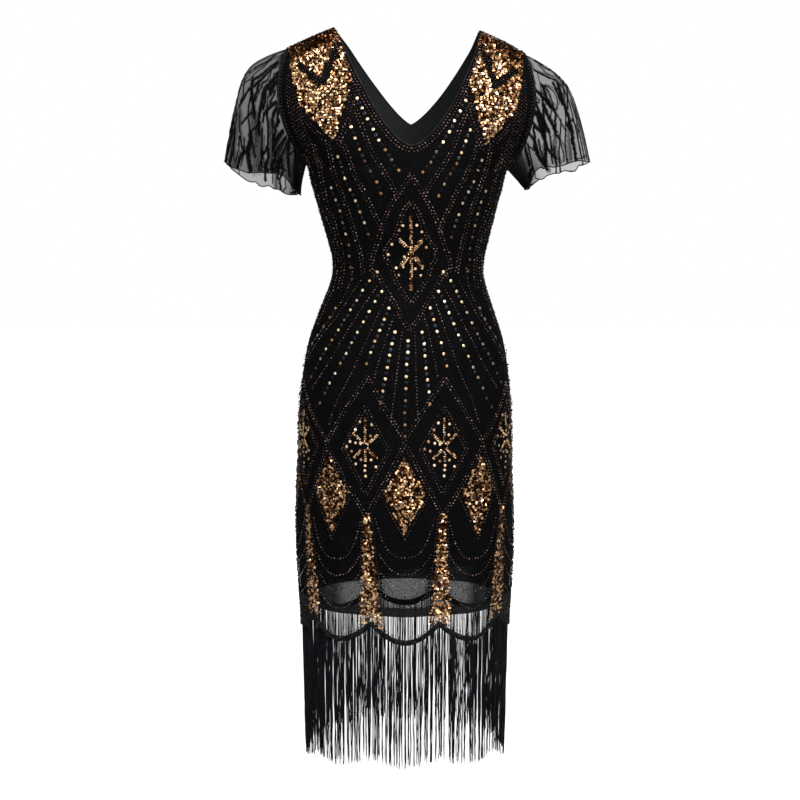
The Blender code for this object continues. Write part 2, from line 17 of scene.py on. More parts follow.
import bpy
import numpy as np
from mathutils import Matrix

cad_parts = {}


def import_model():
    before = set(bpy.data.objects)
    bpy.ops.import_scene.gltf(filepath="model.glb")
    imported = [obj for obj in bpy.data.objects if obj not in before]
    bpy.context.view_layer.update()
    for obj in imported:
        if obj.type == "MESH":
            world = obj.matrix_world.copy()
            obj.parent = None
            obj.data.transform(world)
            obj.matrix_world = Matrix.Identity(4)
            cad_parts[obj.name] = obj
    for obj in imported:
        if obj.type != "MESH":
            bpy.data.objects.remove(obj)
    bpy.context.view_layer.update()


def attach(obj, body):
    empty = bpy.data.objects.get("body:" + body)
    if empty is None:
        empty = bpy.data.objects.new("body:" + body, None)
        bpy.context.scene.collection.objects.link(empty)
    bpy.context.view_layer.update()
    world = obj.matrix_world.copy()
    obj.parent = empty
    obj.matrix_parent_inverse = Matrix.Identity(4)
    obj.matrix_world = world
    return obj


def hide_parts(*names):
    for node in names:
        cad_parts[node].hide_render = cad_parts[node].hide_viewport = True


LOG = logging.getLogger("dress")
Array = np.ndarray
Amount = Array | float
Pair = tuple[float, float]
Material = bpy.types.Material
HANDS = (-1.0, 1.0)  # the half towards -X, the half towards +X


class Side(Enum):
    """The front or the back of the dress, with the sign of its Y."""

    FRONT = -1.0
    BACK = 1.0

    @property
    def word(self) -> str:
        """The side's name in piece names."""
        return self.name.lower()


# Sections of the body: height, half width, depth in front and behind from the side seams' plane,
# lean of the whole section and turn of its middle towards +X.
BODY_LEVELS = np.array((
    (-0.9, 0.157, 0.1055, 0.1055, -0.0006, 0),
    (-0.872, 0.1578, 0.107, 0.107, -0.0006, 0),
    (-0.832, 0.1609, 0.1105, 0.1105, -0.0006, 0),
    (-0.784, 0.1635, 0.1145, 0.114, -0.0008, 0),
    (-0.737, 0.1643, 0.1175, 0.118, -0.0012, 0),
    (-0.69, 0.1635, 0.1195, 0.1215, -0.0014, 0),
    (-0.643, 0.1618, 0.1205, 0.124, -0.0012, 0),
    (-0.596, 0.1614, 0.12, 0.126, -0.0008, 0.0005),
    (-0.55, 0.1596, 0.118, 0.126, -0.0005, 0.0018),
    (-0.519, 0.1562, 0.1155, 0.124, 0, 0.003),
    (-0.488, 0.1521, 0.112, 0.119, 0.0004, 0.0038),
    (-0.458, 0.146, 0.107, 0.112, 0.0007, 0.0044),
    (-0.428, 0.136, 0.1, 0.103, 0.0012, 0.0046),
    (-0.397, 0.1249, 0.0935, 0.093, 0.0022, 0.0046),
    (-0.372, 0.116, 0.089, 0.0865, 0.003, 0.0044),
    (-0.352, 0.1122, 0.087, 0.084, 0.0036, 0.0042),
    (-0.332, 0.1138, 0.089, 0.0845, 0.004, 0.004),
    (-0.307, 0.1197, 0.095, 0.087, 0.0036, 0.004),
    (-0.277, 0.1277, 0.1045, 0.091, 0.0028, 0.0042),
    (-0.246, 0.1362, 0.113, 0.0945, 0.0022, 0.0046),
    (-0.22, 0.1432, 0.1175, 0.097, 0.002, 0.0052),
    (-0.2, 0.147, 0.1185, 0.098, 0.002, 0.0056),
), float)
# Rows of the yoke: angle round the armhole, depth at the middle in front and behind.
YOKE_ROWS = np.array((
    (180, 0.1185, 0.098),
    (150, 0.118, 0.0985),
    (127.5, 0.1135, 0.099),
    (105, 0.1045, 0.097),
    (90, 0.0945, 0.093),
    (75, 0.082, 0.085),
    (60, 0.069, 0.0745),
    (45, 0.055, 0.062),
    (30, 0.039, 0.045),
    (15, 0.02, 0.024),
    (0, 0, 0),
), float)
YOKE_TURN = ((-0.140, 0.0068), (-0.080, 0.0085), (-0.030, 0.0085), (0.0, 0.0025))
# Soft creases of the panels on the straight form, in mm: X and Z of both ends, half width, depth.
DRAGS = {
    Side.FRONT: (
        (-128, -212, -78, -246, 9, 1),
        (-120, -236, -66, -262, 8, 0.7),
        (-104, -338, -52, -352, 7, 0.9),
        (-98, -362, -40, -371, 6, 0.7),
        (-118, -398, -70, -420, 10, 0.8),
        (-36, -640, -30, -868, 13, 0.9),
        (-92, -700, -86, -872, 11, 0.8),
        (124, -216, 84, -252, 9, 0.9),
        (108, -333, 48, -346, 7, 1),
        (100, -370, 58, -384, 6, 0.6),
        (120, -404, 76, -438, 11, 0.8),
        (34, -700, 38, -872, 12, 0.9),
        (98, -640, 90, -866, 13, 0.8),
    ),
    Side.BACK: (
        (-118, -208, -60, -232, 10, 1),
        (-104, -330, -30, -340, 8, 1.1),
        (-96, -352, -44, -366, 7, 0.8),
        (-110, -396, -58, -430, 11, 0.9),
        (-44, -660, -36, -870, 13, 0.9),
        (-100, -690, -96, -872, 11, 0.8),
        (122, -212, 70, -240, 9, 0.9),
        (106, -336, 36, -344, 8, 1),
        (98, -358, 50, -374, 6, 0.7),
        (114, -402, 64, -434, 11, 0.9),
        (42, -690, 40, -870, 12, 0.9),
        (104, -650, 94, -868, 12, 0.8),
    ),
}


class SmoothCurve:
    """A smooth function through a table's points, with no overshoot between them.

    Between two points it is the cubic with the harmonic mean of the neighbouring slopes as its
    end slopes, or zero where the slopes change sign.
    """

    def __init__(self, places: Iterable[float], values: Iterable[float]) -> None:
        """Stores the points in rising order and works out the slope at each.

        Args:
            places: where the values hold.
            values: the value at each place.
        """
        x, y = np.array(list(places), float), np.array(list(values), float)
        order = np.argsort(x)
        self.x, self.y = x[order], y[order]
        self.step = np.diff(self.x)
        slope = np.diff(self.y) / self.step
        same_way = slope[:-1] * slope[1:] > 0
        total = np.where(same_way, slope[:-1] + slope[1:], 1.0)
        inner = np.where(same_way, 2 * slope[:-1] * slope[1:] / total, 0.0)
        self.slope = np.concatenate([slope[:1], inner, slope[-1:]])

    def __call__(self, where: Amount) -> Array:
        """The curve at each place, held constant past both ends.

        Args:
            where: places along it.

        Returns:
            The values.
        """
        at = np.clip(where, self.x[0], self.x[-1])
        i = np.clip(np.searchsorted(self.x, at) - 1, 0, len(self.step) - 1)
        step = self.step[i]
        t = (at - self.x[i]) / step
        start = self.y[i] * (1 + 2 * t) * (1 - t) ** 2 + step * self.slope[i] * t * (1 - t) ** 2
        value = start + self.y[i + 1] * t**2 * (3 - 2 * t)
        return value - step * self.slope[i + 1] * t**2 * (1 - t)


def each_side(front: float, back: float) -> dict[Side, float]:
    """A dataclass field that holds one number for the front and one for the back."""
    return field(default_factory=lambda: {Side.FRONT: front, Side.BACK: back})


@dataclass(frozen=True)
class GarmentForm:
    """The shape that every piece of the dress lies on. A V's point lies in its neck row."""

    neck_half_width: float = 0.107
    shoulder_tip_x: float = 0.172
    shoulder_drop: float = 0.030
    armpit_x: float = 0.147
    armpit_z: float = -0.200
    armhole_bulge: float = 0.0235
    armhole_depth: dict[Side, float] = each_side(0.050, 0.055)
    neck_row: dict[Side, float] = each_side(127.5, 105.0)
    neck_curve: dict[Side, float] = each_side(0.60, 0.75)
    hem_cusp_z: float = -0.872
    scallop_drop: float = 0.028
    scallop_shape: float = 0.85
    scallops_per_quarter: int = 2
    hem_wave: float = 0.0025
    hem_wave_top_z: float = -0.62
    roll: float = 0.022
    roll_ends_z: float = -0.352
    yoke_side_angle: float = 52.0
    yoke_wrap_power: float = 6.0
    least_depth: float = 0.0002
    crease_ends: float = 0.06
    width_at: SmoothCurve = field(init=False)
    depths: dict[Side, SmoothCurve] = field(init=False)
    yoke_depths: dict[Side, SmoothCurve] = field(init=False)
    lean_at: SmoothCurve = field(init=False)
    turn_at: SmoothCurve = field(init=False)

    def __post_init__(self) -> None:
        """Makes the smooth curves through the section tables."""
        z, width, *depths, lean, turn = BODY_LEVELS.T
        row, *yokes = YOKE_ROWS.T
        turn_z, yoke_turn = zip(*YOKE_TURN, strict=True)
        curves = {
            "width_at": SmoothCurve(z, width),
            "depths": {side: SmoothCurve(z, y) for side, y in zip(Side, depths, strict=True)},
            "yoke_depths": {side: SmoothCurve(row, y) for side, y in zip(Side, yokes, strict=True)},
            "lean_at": SmoothCurve([*z, 0.0], [*lean, 0.0]),
            "turn_at": SmoothCurve([*z, *turn_z], [*turn, *yoke_turn]),
        }
        for name, curve in curves.items():
            object.__setattr__(self, name, curve)

    def drag(self, side: Side, x: Array, z: Array) -> Array:
        """How far the creases pull the cloth in: for each, a soft trough across its line.

        Args:
            side: front or back.
            x: distance from the centre line on the straight form.
            z: height.

        Returns:
            Depths, zero or less.
        """
        total = np.zeros(np.broadcast(x, z).shape)
        for x0, z0, x1, z1, width, depth in DRAGS[side]:
            start = np.array([x0, z0]) * 1e-3
            run = np.array([x1, z1]) * 1e-3 - start
            t = np.clip(((x - start[0]) * run[0] + (z - start[1]) * run[1]) / (run @ run), 0, 1)
            away = np.hypot(x - start[0] - t * run[0], z - start[1] - t * run[1])
            across = np.clip(1 - (away * 1e3 / width) ** 2, 0, 1) ** 2
            fade = np.sin(math.pi * np.clip(t, self.crease_ends, 1 - self.crease_ends)) ** 0.5
            total -= depth * 1e-3 * across * fade
        return total

    def hang(self, points: Array) -> Array:
        """Leans, turns and rolls points as the dress hangs.

        X moves by lean(z) and, most at the middle, by turn(z). Z falls by roll times X above the
        waist.

        Args:
            points: places on the straight form, last axis X, Y, Z.

        Returns:
            The places on the hung dress.
        """
        moved = np.array(points, float)
        x, z = moved[..., 0].copy(), moved[..., 2].copy()
        reach = np.where(z < self.armpit_z, self.width_at(z), self.shoulder_tip_x)
        middle = np.clip(1 - (x / reach) ** 2, 0, 1)
        fade = np.clip((z - self.roll_ends_z) / (self.armpit_z - self.roll_ends_z), 0, 1)
        moved[..., 2] = z - self.roll * fade * x
        moved[..., 0] = x + self.lean_at(z) + self.turn_at(z) * middle
        return moved

    def armhole(self, angle: Array, depth: float) -> tuple[Array, Array, Array]:
        """The armhole seam: an ellipse seen from the side, and bowed out at its middle.

        Args:
            angle: 0 at the shoulder tip, 180 at the armpit.
            depth: its depth in front or behind.

        Returns:
            X, depth and Z.
        """
        turn = np.radians(angle)
        mid_x = (self.shoulder_tip_x + self.armpit_x) / 2
        reach_x = (self.shoulder_tip_x - self.armpit_x) / 2
        x = mid_x + reach_x * np.cos(turn) + self.armhole_bulge * np.sin(turn) ** 2
        mid_z, reach_z = self.armhole_height
        return x, depth * np.sin(turn), mid_z + reach_z * np.cos(turn)

    @property
    def armhole_height(self) -> Pair:
        """Height of the armhole's middle, and half its height."""
        return (self.armpit_z - self.shoulder_drop) / 2, -(self.armpit_z + self.shoulder_drop) / 2

    def armhole_angle(self, z: Array) -> Array:
        """The armhole angle of the yoke row whose armhole end lies at height z."""
        mid_z, reach_z = self.armhole_height
        return np.degrees(np.arccos(np.clip((z - mid_z) / reach_z, -1, 1)))

    def neck_depth(self, side: Side) -> float:
        """How far the V's point lies below the shoulders' high points."""
        return float(-self.armhole(np.array(self.neck_row[side]), 0.0)[2])

    def neckline_x(self, side: Side, z: Array) -> Array:
        """Half width of the V at a height: a power of the height's share of the V."""
        share = np.clip(1 + z / self.neck_depth(side), 0, 1)
        return self.neck_half_width * share ** self.neck_curve[side]

    def scallop_z(self, share: Array) -> Array:
        """The hem's height at a share of the quarter: round lows, pointed cusps between."""
        wave = np.abs(np.cos(math.pi * self.scallops_per_quarter * share))
        return self.hem_cusp_z - self.scallop_drop * wave**self.scallop_shape

    def hem_wave_at(self, share: Array, z: Array) -> Array:
        """How far the skirt's bays stand out near the hem."""
        near = np.clip((self.hem_wave_top_z - z) / (self.hem_wave_top_z - self.hem_cusp_z), 0, 1)
        return self.hem_wave * near * np.cos(2 * math.pi * self.scallops_per_quarter * share)

    def body(self, side: Side, share: Array, z: Array, proud: float = 0.0) -> Array:
        """Points of the body below the armpits, on the hung dress.

        Each section is half an ellipse; a share runs by arc length from the centre line, 0, to
        the side seams, -1 and 1.

        Args:
            side: front or back.
            share: signed share of the quarter's arc.
            z: heights, of the same shape or one that broadcasts.
            proud: how far outside the form the points lie.

        Returns:
            Places, last axis X, Y, Z.
        """
        share, z = np.broadcast_arrays(np.asarray(share, float), np.asarray(z, float))
        width, depth = self.width_at(z), self.depths[side](z)
        angle = self.section_angle(side, share, z)
        straight_x = np.sign(share) * width * np.sin(angle)
        out = self.hem_wave_at(share, z) + proud + self.drag(side, straight_x, z) * np.cos(angle)
        x = np.sign(share) * (width + out) * np.sin(angle)
        return self.hang(np.stack([x, side.value * (depth + out) * np.cos(angle), z], axis=-1))

    def section_angle(self, side: Side, share: Array, z: Array) -> Array:
        """The ellipse's angle, 0 at the centre line, at a share of the arc's length.

        Args:
            side: front or back.
            share: signed share of the quarter's arc.
            z: heights.

        Returns:
            Angles in radians, never negative.
        """
        share, z = np.broadcast_arrays(np.asarray(share, float), np.asarray(z, float))
        width, depth = self.width_at(z), self.depths[side](z)
        fine = np.linspace(0, math.pi / 2, 61)
        speed = np.hypot(width[..., None] * np.cos(fine), depth[..., None] * np.sin(fine))
        steps = (speed[..., 1:] + speed[..., :-1]) / 2
        length = np.concatenate([np.zeros_like(steps[..., :1]), np.cumsum(steps, axis=-1)], axis=-1)
        wanted = np.abs(share) * length[..., -1]
        i = np.clip((length <= wanted[..., None]).sum(axis=-1) - 1, 0, len(fine) - 2)
        low = np.take_along_axis(length, i[..., None], -1)[..., 0]
        high = np.take_along_axis(length, i[..., None] + 1, -1)[..., 0]
        return (i + np.clip((wanted - low) / (high - low), 0, 1)) * fine[1]

    def yoke(
        self, side: Side, hand: float, row: Array, share: Array, proud: Amount = 0.0
    ) -> Array:
        """Points of the yoke above the armpits.

        A row is an arc from the neckline or centre line out to the armhole: X goes with the sine
        of an angle, and Y with its cosine, scaled to the row's depth.

        Args:
            side: front or back.
            hand: 1 for the half towards +X, -1 for the other.
            row: armhole angle of the row, 180 at the armpits to 0 at the shoulder seam.
            share: 0 at the neckline or centre line, 1 at the armhole.
            proud: how far outside the form the points lie.

        Returns:
            Places, last axis X, Y, Z.
        """
        row, share = np.broadcast_arrays(np.asarray(row, float), np.asarray(share, float))
        end_x, end_y, end_z = self.armhole(row, self.armhole_depth[side])
        rise, reach, start = self._row_terms(side, row, end_x, end_z)
        angle = start + (reach - start) * share
        bow = (np.cos(angle) - np.cos(reach)) / (1 - np.cos(reach))
        straight_x, z = end_x * np.sin(angle) / np.sin(reach), end_z + rise * (1 - share)
        x = hand * (straight_x + proud * np.sin(angle))
        y = end_y + (self.yoke_depths[side](row) - end_y) * bow + self.drag(side, x, z) + proud
        return self.hang(np.stack([x, side.value * np.maximum(y, self.least_depth), z], axis=-1))

    def yoke_spot(self, side: Side, row: Array, share: Array) -> tuple[Array, Array]:
        """X and Z on the straight form of a place of the yoke.

        Args:
            side: front or back.
            row: armhole angle of the row.
            share: 0 at the neckline or centre line, 1 at the armhole.

        Returns:
            X and Z.
        """
        end_x, _, end_z = self.armhole(row, self.armhole_depth[side])
        rise, reach, start = self._row_terms(side, row, end_x, end_z)
        x = end_x * np.sin(start + (reach - start) * share) / np.sin(reach)
        return x, end_z + rise * (1 - share)

    def _row_terms(
        self, side: Side, row: Array, end_x: Array, end_z: Array
    ) -> tuple[Array, Array, Array]:
        """Rise to the neck, wrap angle and neckline angle of yoke rows.

        Args:
            side: front or back.
            row: armhole angle of the row.
            end_x: X of its armhole end.
            end_z: Z of its armhole end.

        Returns:
            The rise, the wrap angle and the neckline's angle.
        """
        point_z = -self.neck_depth(side)
        share = (end_z - point_z) / (-self.shoulder_drop - point_z)
        rise = self.shoulder_drop * np.clip(share, 0, 1)
        narrow = math.radians(self.yoke_side_angle)
        reach = narrow + (math.pi / 2 - narrow) * (row / 180) ** self.yoke_wrap_power
        neck_x = self.neckline_x(side, end_z + rise)
        return rise, reach, np.arcsin(np.clip(neck_x * np.sin(reach) / end_x, 0, 1))

    def front_view(self, side: Side, x: Array, z: Array) -> Array:
        """Points of the dress above or below the armpits, given by X and Z on the straight form.

        Below the armpits the depth is the ellipse's at X. Above them the yoke row is found by
        repeated correction: the row's height is the wanted Z less the row's rise at X.

        Args:
            side: front or back.
            x: distance from the centre line, right positive.
            z: height.

        Returns:
            Places on the hung dress, last axis X, Y, Z.
        """
        x, z = np.broadcast_arrays(np.asarray(x, float), np.asarray(z, float))
        low_z = np.minimum(z, self.armpit_z)
        width, depth = self.width_at(low_z), self.depths[side](low_z)
        low_y = depth * np.sqrt(np.clip(1 - (np.abs(x) / width) ** 2, 0, 1))
        end_z = np.maximum(z, self.armpit_z + 1e-6)
        for _ in range(8):
            row = self.armhole_angle(end_z)
            end_x, end_y, _ = self.armhole(row, self.armhole_depth[side])
            rise, reach, start = self._row_terms(side, row, end_x, end_z)
            angle = np.arcsin(np.clip(np.abs(x) * np.sin(reach) / end_x, -1, 1))
            off = np.clip((angle - start) / np.maximum(reach - start, 1e-6), -0.3, 1.1)
            end_z = np.clip(z - rise * (1 - off), self.armpit_z, -self.shoulder_drop)
        bow = (np.cos(angle) - np.cos(reach)) / (1 - np.cos(reach))
        high_y = end_y + (self.yoke_depths[side](row) - end_y) * bow
        y = np.where(z < self.armpit_z, low_y, high_y) + self.drag(side, x, z)
        return self.hang(np.stack([x, side.value * y, z], axis=-1))


FORM = GarmentForm()


class MeshData(NamedTuple):
    """Points, faces and named per-point values of one mesh, before it becomes an object."""

    points: Array
    faces: Array
    values: dict[str, Array]


def grid_faces(rows: int, columns: int, wrap: bool = False) -> Array:
    """Quads of a grid of points, numbered row by row.

    Args:
        rows: rows of points.
        columns: points in a row.
        wrap: whether the last point of a row joins the first.

    Returns:
        Index array of shape (faces, 4).
    """
    across = np.arange(columns if wrap else columns - 1)
    corner = np.arange(rows - 1)[:, None] * columns
    a, b = corner + across, corner + (across + 1) % columns
    return np.stack([a, b, b + columns, a + columns], axis=-1).reshape(-1, 4)


def joined(parts: Sequence[MeshData]) -> MeshData:
    """Several meshes of the same kind of face as one.

    Args:
        parts: the meshes.

    Returns:
        The mesh.
    """
    offsets = np.cumsum([0, *[len(part.points) for part in parts[:-1]]])
    return MeshData(
        np.concatenate([part.points for part in parts]),
        np.concatenate([part.faces + start for part, start in zip(parts, offsets, strict=True)]),
        {name: np.concatenate([part.values[name] for part in parts]) for name in parts[0].values},
    )


def welded(data: MeshData, reach: float = 2e-6) -> MeshData:
    """The same mesh with points nearer than reach made one, and faces that vanish left out.

    Args:
        data: the mesh.
        reach: how near points must lie.

    Returns:
        The mesh.
    """
    keys = np.round(data.points / reach).astype(np.int64)
    _, first, index = np.unique(keys, axis=0, return_index=True, return_inverse=True)
    faces = index.reshape(-1)[data.faces]
    whole = (np.diff(np.sort(faces, axis=1), axis=1) != 0).all(axis=1)
    values = {name: value[first] for name, value in data.values.items()}
    return MeshData(data.points[first], faces[whole], values)


def make_object(
    name: str, data: MeshData, material: Material, smooth: bool = True
) -> bpy.types.Object:
    """Puts arrays into a new mesh object in the scene.

    Args:
        name: the piece's name.
        data: points, faces and per-point values.
        material: what it is made of.
        smooth: whether its faces shade smoothly.

    Returns:
        The new object, at the origin.
    """
    mesh = bpy.data.meshes.new(name)
    count, corners = data.faces.shape
    mesh.vertices.add(len(data.points))
    mesh.vertices.foreach_set("co", np.ascontiguousarray(data.points, np.float32).ravel())
    mesh.loops.add(count * corners)
    mesh.loops.foreach_set("vertex_index", np.ascontiguousarray(data.faces, np.int32).ravel())
    mesh.polygons.add(count)
    mesh.polygons.foreach_set("loop_start", np.arange(count, dtype=np.int32) * corners)
    mesh.polygons.foreach_set("use_smooth", np.full(count, smooth))
    for key, value in data.values.items():
        layer = mesh.attributes.new(key, "FLOAT", "POINT")
        layer.data.foreach_set("value", np.ascontiguousarray(value, np.float32))
    mesh.update(calc_edges=True)
    mesh.validate()
    mesh.materials.append(material)
    made = bpy.data.objects.new(name, mesh)
    bpy.context.scene.collection.objects.link(made)
    return made


def make_piece(
    name: str, data: MeshData, material: Material, solid: str = "", smooth: bool = True
) -> bpy.types.Object:
    """Makes a piece of the dress, which rides on the only body.

    Args:
        name: the piece's name.
        data: points, faces and per-point values.
        material: what it is made of.
        solid: the node it stands for, if any.
        smooth: whether its faces shade smoothly.

    Returns:
        The piece.
    """
    piece = make_object(name, data, material, smooth)
    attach(piece, "root")
    if solid:
        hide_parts(solid)
    LOG.info("%s: %d points, %d faces", name, len(data.points), len(data.faces))
    return piece


def unit(vectors: Array) -> Array:
    """Vectors of length one, in the same directions."""
    return vectors / np.maximum(np.linalg.norm(vectors, axis=-1, keepdims=True), 1e-12)


def tube(
    path: Array, radius: float, sides: int, outward: Array, flat: float = 1.0, closed: bool = False
) -> MeshData:
    """A profile carried along a path: an ellipse round each point, closed at both ends.

    Args:
        path: points of the middle line.
        radius: half the profile's width.
        sides: corners of the profile.
        outward: direction out of the cloth at each point.
        flat: height of the profile over its width.
        closed: whether the path ends where it starts.

    Returns:
        The tube's mesh in triangles.
    """
    ahead = np.gradient(path, axis=0)
    if closed:
        ahead = np.roll(path, -1, axis=0) - np.roll(path, 1, axis=0)
    along = unit(ahead)
    up = unit(outward - np.sum(outward * along, axis=-1, keepdims=True) * along)
    across = np.cross(along, up)
    turn = np.arange(sides) * 2 * math.pi / sides
    wide, high = np.cos(turn)[None, :, None], flat * np.sin(turn)[None, :, None]
    points = path[:, None] + radius * (wide * across[:, None] + high * up[:, None])
    if closed:
        points = np.concatenate([points, points[:1]])
    else:
        ends = [path[end, None, None] + 0 * points[:1] for end in (0, -1)]
        points = np.concatenate([ends[0], points, ends[1]])
    quads = grid_faces(len(points), sides, wrap=True)[:, ::-1]
    faces = np.concatenate([quads[:, [0, 1, 2]], quads[:, [0, 2, 3]]])
    return welded(MeshData(points.reshape(-1, 3), faces, {}), 1e-7)


class Unit(Enum):
    """Shapes that are repeated along the bead lines and in the sequin fields."""

    BEAD = "bead"
    SPANGLE = "spangle"
    SEQUIN = "sequin"
    BUGLE = "bugle"

    def shape(self) -> tuple[Array, Array]:
        """Corners and triangles of one unit, 1 across, in its own X along, Y across, Z outward.

        Returns:
            The corners and the triangles.
        """
        if self is Unit.BEAD:
            return ring_solid(5, ((0.0, -0.42), (0.5, -0.16), (0.5, 0.16), (0.0, 0.42)))
        if self is Unit.SPANGLE:
            return ring_solid(10, ((0, -0.05), (0.5, -0.03), (0.47, 0.05), (0.2, 0.13), (0, 0.12)))
        if self is Unit.SEQUIN:
            return ring_solid(6, ((0.0, -0.02), (0.5, 0.02), (0.0, 0.055)))
        corners, triangles = ring_solid(5, ((0.0, -0.5), (0.5, -0.47), (0.5, 0.47), (0.0, 0.5)))
        return corners[:, [2, 0, 1]], triangles

    def tones(self, corners: Array, tone: Array) -> Array:
        """Tone at each corner of each unit, with painted light on spangles and sequins.

        A bright spangle has a painted highlight and painted rim shade; a dull one has a dark
        middle.

        Args:
            corners: corners of one unit.
            tone: each unit's own tone.

        Returns:
            Tones of shape (units, corners).
        """
        off = np.hypot(corners[:, 0], corners[:, 1])[None]
        middle, tone = off < 0.3, tone[:, None]
        if self is Unit.SPANGLE:
            # Bright spangles: painted highlight over the middle and ring, painted shade at the rim.
            bright = np.where(middle, 1.0, np.where(off < 0.49, 0.80, 0.05))
            dull = np.where(middle, 0.15, np.where(off < 0.49, 1.0, 0.2))
            return tone * np.where(tone > 0.35, bright, dull)
        # Sequins keep full tone in the middle and are darker at the rim: painted shade.
        return tone * np.where(middle | (self is not Unit.SEQUIN), 1.0, 0.6)


def ring_solid(sides: int, profile: Sequence[Pair]) -> tuple[Array, Array]:
    """A solid of revolution with few faces: a profile of radius and height turned round Z.

    Args:
        sides: faces round it.
        profile: radius and height from the lowest point to the highest; both ends have radius 0.

    Returns:
        Its corners and its triangles, facing out.
    """
    turn = np.arange(sides) * 2 * math.pi / sides
    x, y = np.cos(turn), np.sin(turn)
    rings = [np.stack([r * x, r * y, h + 0 * turn], -1) for r, h in profile[1:-1]]
    corners = np.concatenate([[[0, 0, profile[0][1]]], *rings, [[0, 0, profile[-1][1]]]])
    here, after = np.arange(sides), (np.arange(sides) + 1) % sides
    triangles = [np.stack([0 * here, 1 + after, 1 + here], -1)]
    for a in range(1, 1 + (len(rings) - 1) * sides, sides):
        b = a + sides
        triangles.append(np.stack([a + here, a + after, b + after], -1))
        triangles.append(np.stack([a + here, b + after, b + here], -1))
    last = 1 + (len(rings) - 1) * sides
    top = np.stack([0 * here + len(corners) - 1, last + here, last + after], -1)
    return corners, np.concatenate([*triangles, top])


@dataclass
class Scatter:
    """Places of one kind of unit, gathered from many lines and fields, for one joined mesh."""

    kind: Unit
    rows: list[Array] = field(default_factory=list)

    def add(
        self,
        places: Array,
        outward: Array,
        along: Array,
        size: Amount,
        tone: Amount,
        length: Amount = 1.0,
    ) -> None:
        """Adds units.

        Args:
            places: their middles.
            outward: the direction out of the cloth at each.
            along: the direction of each one's own X.
            size: width of each.
            tone: 0 to 1, which colour of the finish each takes.
            length: length over width of each, along its X.
        """
        count = len(places)
        threes = [np.broadcast_to(value, (count, 3)) for value in (places, outward, along)]
        columns = [np.reshape(value, (-1, 1)) for value in (size, length, tone)]
        ones = [np.broadcast_to(column, (count, 1)) for column in columns]
        self.rows.append(np.concatenate([*threes, *ones], axis=1))

    def mesh(self) -> MeshData:
        """All the units as one mesh: each corner is its place plus its shape in its own axes.

        Returns:
            The mesh.
        """
        corners, triangles = self.kind.shape()
        table = np.concatenate(self.rows)
        place, up, along = table[:, :3], unit(table[:, 3:6]), table[:, 6:9]
        size, length, tone = table[:, 9:].T
        along = unit(along - np.sum(along * up, axis=-1, keepdims=True) * up)
        across = np.cross(up, along)
        x = corners[None, :, 0, None] * (size * length)[:, None, None] * along[:, None]
        y = corners[None, :, 1, None] * size[:, None, None] * across[:, None]
        z = corners[None, :, 2, None] * size[:, None, None] * up[:, None]
        points = (place[:, None] + x + y + z).reshape(-1, 3)
        faces = triangles[None] + np.arange(len(place))[:, None, None] * len(corners)
        # Per-corner tones carry painted highlights and painted shade on spangles and sequins.
        tones = self.kind.tones(corners, tone).ravel()
        return MeshData(points, faces.reshape(-1, 3), {"tone": tones})


class Crinkle(NamedTuple):
    """A crease of sleeve net: its line as points of angle round the sleeve and share of its
    length, its half width in mm and how much darker the doubled net makes it, 0 to 1."""

    line: tuple[Pair, ...]
    half_width: float
    dark: float


def crinkles(*rows: Sequence[float]) -> tuple[Crinkle, ...]:
    """Creases from rows: half width in mm, darkness in %, then degrees and % of length by turns."""
    lines = [tuple((a, s / 100) for a, s in zip(row[2::2], row[3::2], strict=True)) for row in rows]
    return tuple(Crinkle(line, row[0], row[1] / 100) for line, row in zip(lines, rows, strict=True))


